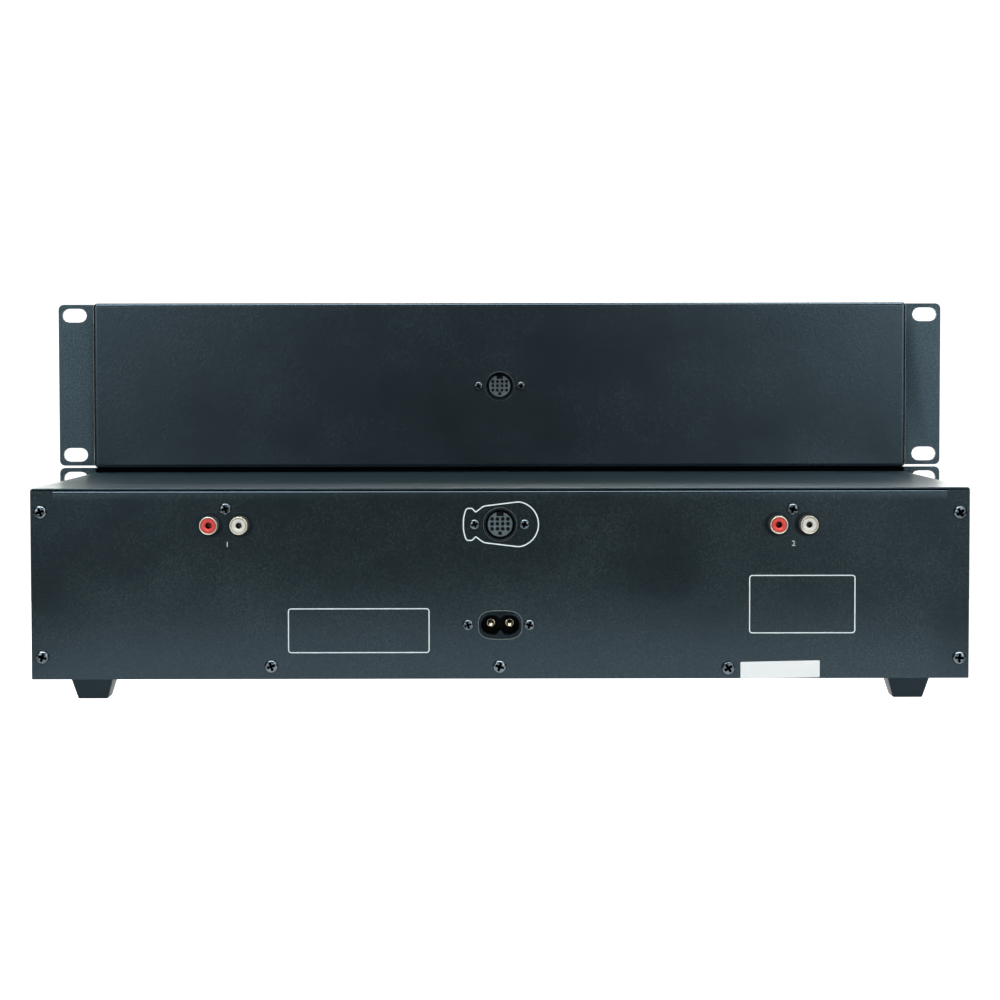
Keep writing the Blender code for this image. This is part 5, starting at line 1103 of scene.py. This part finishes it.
def symbol(kind, size):
    """Plain signs: a triangle that points right, two bars, a dot, an eject sign and an on/off stroke."""
    third = size / 3
    arrow = np.array([(size / 2, 0), (-size / 2, size / 2), (-size / 2, -size / 2)])
    flat = [(0, 0), (0, INK)]
    if kind == "play":
        bars = [inked(third / 2, size) + (size + shift * third / 2, 0, 0) for shift in (0, 2)]
        return [raised(arrow, flat) + (-third, 0, 0), *bars]
    if kind == "cue":
        return [carried(circle(size / 2, 32), third / 2, INK, True)]
    if kind == "open":
        return [raised(arrow @ [(0, 1), (-1, 0)], flat) + (0, third / 2, 0),
                inked(size, third / 2) + (0, -size / 1.4, 0)]
    if kind == "power":
        arc = np.roll(circle(size / 2, 40)[np.abs(np.arange(40) - 10) > 4], -6, 0)
        return [carried(arc, third / 2, INK, False), inked(third / 2, size / 1.8) + (0, size / 2.6, 0)]
    if kind == "skip":
        return [raised(arrow * 0.7, flat) * (hand, 1, 1) + (hand * 2.4 * size, 0, 0) for hand in HANDS]
    return [inked(size, third / 2) + (hand * 2.4 * size, 0, 0) for hand in HANDS]


def make_symbol(node, kind, size, fall=0.0):
    """Signs on a key's dished face, which may fall from its ends towards its middle."""
    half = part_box(node)[1].x - middle(node).x
    grids = [grid + (KEY_REACH - KEY_DISH - fall * (1 - np.abs(grid[..., :1]) / half)) * (0, 0, 1)
             for grid in symbol(kind, size)]
    front_piece(node, "sign", grids, INK_WHITE)


def make_scales():
    """The pitch scales: a long tick in the middle and at both ends, short ones between them, and signs."""
    grids = []
    for number, level in enumerate(np.linspace(-1, 1, TICKS)):
        length = SHORT_TICK if number % (TICKS // 2) else LONG_TICK
        grids += [inked(length, TICK_THICK) + (hand * (TICK_ASIDE + length / 2), level * TICK_REACH, 0)
                  for hand in HANDS]
    bar, post = inked(SCALE_SIGN, SCALE_SIGN_THICK), inked(SCALE_SIGN_THICK, SCALE_SIGN)
    grids += [sign + (0, hand * SCALE_SIGN_RISE, 0) for sign, hand in ((bar, -1), (post, -1), (bar, 1))]
    for side in SIDES:
        node = f"pitch_slider_{side}"
        make_piece(f"pitch_scale_{side}", grids, INK_WHITE, "control_panel", front_centre(node), "front")


def make_lamps():
    """Small domed lamps: one above each big key, and one beside each key of the drive unit."""
    dome = turned([(0, -PANEL_DEPTH), (LAMP_RADIUS, -PANEL_DEPTH), (LAMP_RADIUS, 0.0001),
                   (0.8 * LAMP_RADIUS, 0.0006), (0.4 * LAMP_RADIUS, 0.0009), (0, 0.0010)], 20)
    places = {"play": [], "cue": [], "drive": [front_centre("power_button") + (POWER_LAMP_ASIDE, 0, 0)]}
    for side in SIDES:
        for kind in ("play", "cue"):
            key = f"{kind}_button_{side}"
            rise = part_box(key)[1].z - middle(key).z + LAMP_ABOVE
            places[kind].append(front_centre(key) + (0, 0, rise))
        places["drive"].append(front_centre(f"open_button_{side}") + (OPEN_LAMP_ASIDE, 0, 0))
    for kind, finish, node in (("play", GREEN_LAMP, "control_panel"), ("cue", AMBER_LAMP, "control_panel"),
                               ("drive", RED_LAMP, "drive_front_panel")):
        make_piece(f"{kind}_lamps", [placed(dome, place, "front") for place in places[kind]], finish, node)


def make_front_screws():
    """Four pan heads near the corners of each front."""
    for node, rise in (("control_panel", 0.034), ("drive_front_panel", 0.036)):
        make_screws(node, node, FRONT_SCREW,
                    [(hand * FRONT_SCREW_ASIDE, middle(node).z + level * rise) for hand in HANDS
                     for level in HANDS], PANEL_FRONT, "front")


# Inside

def make_turned(node, ending, profile, finish, sides, centre, replaced=True):
    """A piece turned round an upright axis."""
    make_piece(f"{node}_{ending}", [turned(profile, sides)], finish, node, centre, "up", replaced)


def make_loader_parts(side):
    """A loader's round pieces: turntable with a rubber ring, puck, motor and lens."""
    node = f"turntable_{side}"
    low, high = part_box(node)
    x, y, _ = middle(node)
    disc_z = high.z - BOSS_HEIGHT
    hub = eased([(0, BOSS_HEIGHT), (0.0045, BOSS_HEIGHT), (0.0070, 0.0012), (0.0074, 0),
                 (PLATTER_RADIUS, 0), (PLATTER_RADIUS, -0.0030), (0.0060, -0.0030), (0.0060, -0.0082),
                 (0.0014, -0.0082), (0.0014, low.z - disc_z), (0, low.z - disc_z)], EDGE)
    make_turned(node, "hub", hub, DARK_MOULD, 64, (x, y, disc_z))
    ring = eased([(0.0110, 0), (0.0110, 0.0003), (0.0144, 0.0003), (0.0144, 0), (0.0110, 0)], EDGE)
    make_turned(node, "ring", ring, FOOT_RUBBER, 64, (x, y, disc_z), False)
    node = f"clamp_puck_{side}"
    base, top = (corner.z - disc_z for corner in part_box(node))
    puck = eased([(0, 0.0028), (0.0084, 0.0028), (0.0084, base), (0.0145, base), (0.0145, base + 0.004),
                  (0.0110, base + 0.004), (0.0110, top - 0.0015), (0.0140, top - 0.0015), (0.0140, top),
                  (0.0100, top), (0.0090, top - 0.0008), (0.0030, top - 0.0008), (0.0024, top), (0, top)],
                 EDGE)
    make_turned(node, "turned", puck, BLACK_MOULD, 64, (x, y, disc_z))
    node = f"loading_motor_{side}"
    end = -extent(node)[2]
    can = eased([(0, end), (0.0050, end), (0.0052, 0.0008 + end), (0.0120, 0.0008 + end),
                 (0.0120, -0.0012), (0.0114, -0.0010), (0.0114, 0), (0.0028, 0), (0.0028, -0.0156),
                 (0, -0.0156)], EDGE)
    make_turned(node, "can", can, ZINC, 48, (middle(node).x, middle(node).y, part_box(node)[1].z))
    node = f"laser_sled_{side}"
    softened(node, 0.0006, BLACK_MOULD)
    dome = [(0.0036, -0.0002), (0.0036, 0.0001), (0.0026, 0.0001), (0.0020, 0.0003), (0.0010, 0.0004),
            (0, 0.00045)]
    make_turned(node, "lens", dome, LENS, 32, (x, middle(node).y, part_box(node)[1].z), False)


def make_board(node, base):
    """A board at a height, and the four posts under it near its corners."""
    width, depth, _ = extent(node)
    x, y, _ = middle(node)
    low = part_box(node)[0].z
    make_piece(f"{node}_plate", [block((width, depth, BOARD), 0.001, EDGE, base)], BOARD_MOULD, node,
               (x, y, 0), "up", True)
    post = turned(eased([(0, low), (POST_RADIUS, low), (POST_RADIUS, base), (0, base)], EDGE), 12)
    aside, along = width / 2 - POST_INSET, depth / 2 - POST_INSET
    posts = [post + (x + hand * aside, y + end * along, 0) for hand in HANDS for end in HANDS]
    make_piece(f"{node}_posts", posts, ZINC, node)


def make_power_parts():
    """Two capacitors and a heat sink on the power board. The sink is a comb's outline, stood upright."""
    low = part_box("power_board")[0]
    x, width = middle("power_board").x, extent("power_board")[0]
    base = low.z + POWER_BOARD_RISE
    make_board("power_board", base)
    top = base + BOARD
    can = eased([(0, 0), (0.0080, 0), (0.0080, 0.0012), (0.0076, 0.0020), (0.0080, 0.0028),
                 (0.0080, 0.0256), (0.0068, 0.0256), (0.0066, 0.0252), (0, 0.0252)], EDGE)
    cans = [turned(can, 40) + (x + hand * CAN_ASIDE, low.y + CAN_FROM_REAR, top) for hand in HANDS]
    make_piece("power_capacitors", cans, SLEEVE, "power_board")
    reach, pitch = (width - SINK_MARGIN) / 2, (width - SINK_MARGIN) / FINS
    comb = [(-reach, 0.0), (reach, 0.0)]
    for fin in range(FINS - 1, -1, -1):
        left = -reach + fin * pitch
        corners = ((0.70, FIN_DEPTH), (0.30, FIN_DEPTH), (0.28, FIN_ROOT), (-0.28, FIN_ROOT))
        comb += [(left + share * pitch, depth) for share, depth in corners][:4 if fin else 3]
    comb = np.array(comb)
    walls = ringed((comb, top), (comb, top + FIN_HEIGHT)) + (x, low.y + SINK_FROM_REAR, 0)
    mesh = mesh_of("heat_sink", [walls])
    shape = bmesh.new()
    shape.from_mesh(mesh)
    bmesh.ops.holes_fill(shape, edges=shape.edges)
    bmesh.ops.recalc_face_normals(shape, faces=shape.faces)
    shape.to_mesh(mesh)
    shape.free()
    ease_edges(add_mesh("heat_sink", mesh, ZINC, "power_board"), EDGE / 2, 1)


def make_main_parts():
    """Three flat chips for each loader on the main board."""
    low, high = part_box("main_board")
    top = high.z - MAIN_BOARD_DROP
    make_board("main_board", top - BOARD)
    chip = block(CHIP, 0.0004, 0.0003, top)
    chips = [chip + (middle(f"loader_frame_{side}").x + step * CHIP_PITCH, low.y + CHIP_FROM_REAR, 0)
             for side in SIDES for step in (-1, 0, 1)]
    make_piece("main_board_chips", chips, BLACK_MOULD, "main_board")


def make_transformer():
    """A laminated core round a taped coil on its bobbin. The coil swells by a cosine of its height."""
    node = "mains_transformer"
    x, y, z = middle(node)
    full_width, depth, height = extent(node)
    width = COIL_SHARE * full_width
    core = block((full_width, CORE_DEPTH, height), EDGE, EDGE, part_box(node)[0].z)
    coil = raised(rounded_rectangle(width, depth, 0.004),
                  [(0.0025 - 0.0020 * math.cos(way * math.pi / 2), z + way * COIL_REACH)
                   for way in np.linspace(-1, 1, 9)])
    cheeks = [block((width, depth, CHEEK), 0.003, EDGE, base) for base in (z - CHEEK_LOW, z + CHEEK_HIGH)]
    for ending, grids, finish in (("core", [core], CORE_STEEL), ("coil", [coil], TAPE),
                                  ("bobbin", cheeks, WHITE_MOULD)):
        make_piece(f"transformer_{ending}", grids, finish, node, (x, y, 0), "up", ending == "core")


# All pieces

make_cover()
make_gap_shade_strip()
make_rear_plate()
make_control_shell()
make_line_outs()
make_round_socket("drive_socket", "drive_link_socket", REAR, SOCKET_Z)
make_round_socket("control_socket", "control_link_socket", BOX_REAR, LINK_Z)
make_inlet()
for name, node, radius, face, low, places in REAR_SCREWS:
    make_screws(name, node, radius, [(x, low + up) for x, up in places], face)
make_plug_line()
make_frames()
make_label()
make_digit("channel_one", "1", 0.1240)
make_digit("channel_two", "2", -0.1334)
softened("drive_front_panel", 0.0004, PANEL_COAT, "drive_panel")
softened("control_panel", 0.0004, PANEL_COAT, "control_face")

for side in SIDES:
    for end in ("front", "rear"):
        make_foot(f"foot_{end}_{side}")
    for kind, finish in (("play", GREEN_KEY), ("cue", AMBER_KEY), ("time", GREY_MOULD), ("open", GREY_MOULD)):
        make_key(f"{kind}_button_{side}", finish)
    for kind, size in (("play", 0.0040), ("cue", 0.0036), ("open", 0.0022)):
        make_symbol(f"{kind}_button_{side}", kind, size)
    for kind, sign, size in (("track", "skip", 0.0026), ("bend", "bend", 0.0024)):
        make_rocker(f"{kind}_rocker_{side}")
        make_symbol(f"{kind}_rocker_{side}", sign, size, ROCKER_FALL)
    make_jog(f"jog_wheel_{side}")
    make_slider(f"pitch_slider_{side}")
    make_door(f"tray_door_{side}")
    make_loader_parts(side)
    for kind, width, finish in (("tray", 0.0005, DARK_MOULD), ("loader_frame", 0.0003, BLACK_MOULD),
                                ("loading_gear", 0.0001, WHITE_MOULD), ("pickup_frame", 0.0003, ZINC),
                                ("clamp_bridge", 0.0002, ZINC), ("rest_pad", 0.0003, FOOT_RUBBER)):
        softened(f"{kind}_{side}", width, finish)
make_key("power_button", DARK_MOULD)
make_symbol("power_button", "power", 0.0034)
make_display("display_window_left", "03", "1245")
make_display("display_window_right", "01", "0230")
make_scales()
make_lamps()
make_front_screws()
make_power_parts()
make_main_parts()
make_transformer()
softened("control_board", 0.0002, BOARD_MOULD)
softened("drive_base", 0.0003, BOX_COAT)

PLAIN_LOOKS = {SLOTS[finish.name]: finish for finish in
               (LID_SHEEN_COAT, PANEL_COAT, BLACK_MOULD, DARK_MOULD, GREY_MOULD, FOOT_RUBBER, ZINC, BOARD_MOULD,
                CORE_STEEL, WHITE_MOULD, SMOKED, GREEN_KEY, AMBER_KEY)}
for part in frame["record"]["subparts"]:
    shape = frame["nodes"][part["node"]].data
    shape.materials.clear()
    shape.materials.append(PLAIN_LOOKS[part["material_slot"]])


# Floor, light and camera

WHITE = (1, 1, 1, 1)
ROOM_LIGHT = 0.55               # on matt surfaces, from all sides
SEEN_LIGHT = 1.2                # where the camera looks past the object
# Light that shines in a coat on the camera's side: shares for a direction's part across, then up.
ROOM_ASIDE = ((-0.75, 0.0), (-0.45, 2.0), (-0.34, 4.2), (-0.17, 1.8), (-0.08, 0.05), (0.06, 0.0), (0.15, 1.0),
              (0.32, 2.9), (0.45, 1.4), (0.75, 0.0))
ROOM_UP = ((-0.12, 0.0), (-0.04, 0.05), (-0.005, 0.5), (0.05, 2.5), (0.14, 3.2), (0.2, 3.2), (0.3, 0.0))
ROOM_BAND = ((0.74, 0.2), (0.79, 20.0), (0.92, 20.0), (0.96, 0.2))
BAND_FADE = (0.2, 0.32)
RAMP_TOP = 20.0
BACK_WHITE = 2.3
BACK_FADE = (-0.9, -0.6)
BACK_COLOUR = (0.95, 1.0, 0.93, 1.0)
FLOOR_RADIUS = 0.50
FLOOR_WHITE = 2.2
FLOOR_SHARE = 0.8
FLOOR_FADE = (0.225, 0.245)     # where the floor stops shining in the coat, across from the middle


def mirrored_rays(tree, rays):
    """One for a ray that a coat mirrors or glass lets through, and nought for the others."""
    return maths(tree, 'MAXIMUM', rays["Is Glossy Ray"], rays["Is Transmission Ray"])


def parts_of(tree, output):
    """The three parts of a place or a direction."""
    whole = tree.nodes.new("ShaderNodeTexCoord").outputs[output]
    return add_node(tree, "ShaderNodeSeparateXYZ", {0: whole}).outputs


def make_floor():
    """A disc in polar steps. The camera sees it nearly white, and the object's shadow on it."""
    grid = turned([(0, 0), (0.7 * FLOOR_RADIUS, 0), (FLOOR_RADIUS, 0)], 96)
    mesh = mesh_of("floor", [grid], outwards=False)
    floor = bpy.data.objects.new("floor", mesh)
    bpy.context.scene.collection.objects.link(floor)
    finish = bpy.data.materials.new("floor_white")
    finish.use_nodes = True
    tree = finish.node_tree
    shader = tree.nodes["Principled BSDF"]
    shader.inputs["Base Color"].default_value = (0.9, 0.9, 0.9, 1)
    shader.inputs["Roughness"].default_value = 0.9
    glow = add_node(tree, "ShaderNodeEmission", {"Color": WHITE, "Strength": FLOOR_WHITE})
    rays = tree.nodes.new("ShaderNodeLightPath").outputs
    aside = maths(tree, 'ABSOLUTE', parts_of(tree, "Object")["X"])
    near = maths(tree, 'MULTIPLY', mirrored_rays(tree, rays), spread(tree, aside, *FLOOR_FADE, 1.0, 0.0))
    share = maths(tree, 'MULTIPLY', maths(tree, 'MAXIMUM', near, rays["Is Camera Ray"]), FLOOR_SHARE)
    mixed = add_node(tree, "ShaderNodeMixShader", {0: share, 1: shader.outputs[0], 2: glow.outputs[0]})
    tree.links.new(mixed.outputs[0], tree.nodes["Material Output"].inputs["Surface"])
    mesh.materials.append(finish)


def ramp(tree, value, stops):
    """A value from minus one to one, read off a line through stops."""
    node = add_node(tree, "ShaderNodeValToRGB", {"Fac": spread(tree, value, -1, 1)})
    line = node.color_ramp.elements
    while len(line) < len(stops):
        line.new(0.5)
    for mark, (place, _) in zip(line, stops):
        mark.position = (place + 1) / 2
    for mark, (_, height) in zip(line, stops):
        mark.color = (height / RAMP_TOP,) * 3 + (1,)
    return maths(tree, 'MULTIPLY', node.outputs["Color"], RAMP_TOP)


def make_world():
    """White where the camera looks past the object, and where metal and glass mirror that side. On the
    camera's side they mirror a dark room with soft light to the left and right of it."""
    world = bpy.data.worlds.new("studio")
    bpy.context.scene.world = world
    world.use_nodes = True
    tree = world.node_tree
    rays = tree.nodes.new("ShaderNodeLightPath").outputs
    way = parts_of(tree, "Generated")
    over = maths(tree, 'MULTIPLY', ramp(tree, way["Z"], ROOM_BAND), spread(tree, way["Y"], *BAND_FADE))
    aside, height = ramp(tree, way["X"], ROOM_ASIDE), ramp(tree, way["Z"], ROOM_UP)
    room = maths(tree, 'MULTIPLY_ADD', aside, height, over)
    behind = spread(tree, way["Y"], *BACK_FADE, 1.0, 0.0)
    mirrored = mirrored_rays(tree, rays)
    light = mixed_number(tree, mirrored, ROOM_LIGHT, mixed_number(tree, behind, room, BACK_WHITE))
    strength = mixed_number(tree, rays["Is Camera Ray"], light, SEEN_LIGHT)
    colour = blended(tree, maths(tree, 'MULTIPLY', behind, mirrored), WHITE, BACK_COLOUR)
    tree.links.new(colour, tree.nodes["Background"].inputs["Color"])
    tree.links.new(strength, tree.nodes["Background"].inputs["Strength"])


def add_lamp(name, place, power):
    """A square lamp that looks at the middle of the object."""
    lamp = bpy.data.lights.new(name, 'AREA')
    lamp.size = 0.8
    lamp.energy = power
    holder = bpy.data.objects.new(name, lamp)
    holder.location = place
    holder.rotation_euler = (Vector((0, 0, 0.1)) - Vector(place)).to_track_quat('-Z', 'Y').to_euler()
    bpy.context.scene.collection.objects.link(holder)


CAMERA_PLACE = (0.00057, 1.32372, 0.14989)
CAMERA_WAY = (-0.000461, -0.998806, -0.048843)
CAMERA_ROLL = math.radians(-0.0992)
CAMERA_LENS = 94.817


def make_camera():
    """The camera looks along its way, then is turned by its roll."""
    view = bpy.data.cameras.new("camera")
    view.lens = CAMERA_LENS
    view.sensor_width = 36.0
    view.clip_start = 0.01
    holder = bpy.data.objects.new("camera", view)
    holder.location = CAMERA_PLACE
    holder.rotation_mode = 'QUATERNION'
    holder.rotation_quaternion = (Vector(CAMERA_WAY).to_track_quat('-Z', 'Y')
                                  @ Quaternion((0, 0, 1), CAMERA_ROLL))
    bpy.context.scene.collection.objects.link(holder)
    bpy.context.scene.camera = holder


make_floor()
make_world()
add_lamp("key_lamp", (0.9, 1.2, 1.8), 19.0)
add_lamp("fill_lamp", (-1.3, 0.8, 1.2), 13.0)
add_lamp("front_lamp", (-0.2, -1.9, 1.0), 11.0)
make_camera()
bpy.context.scene.view_settings.view_transform = 'Standard'

bpy.context.view_layer.update()
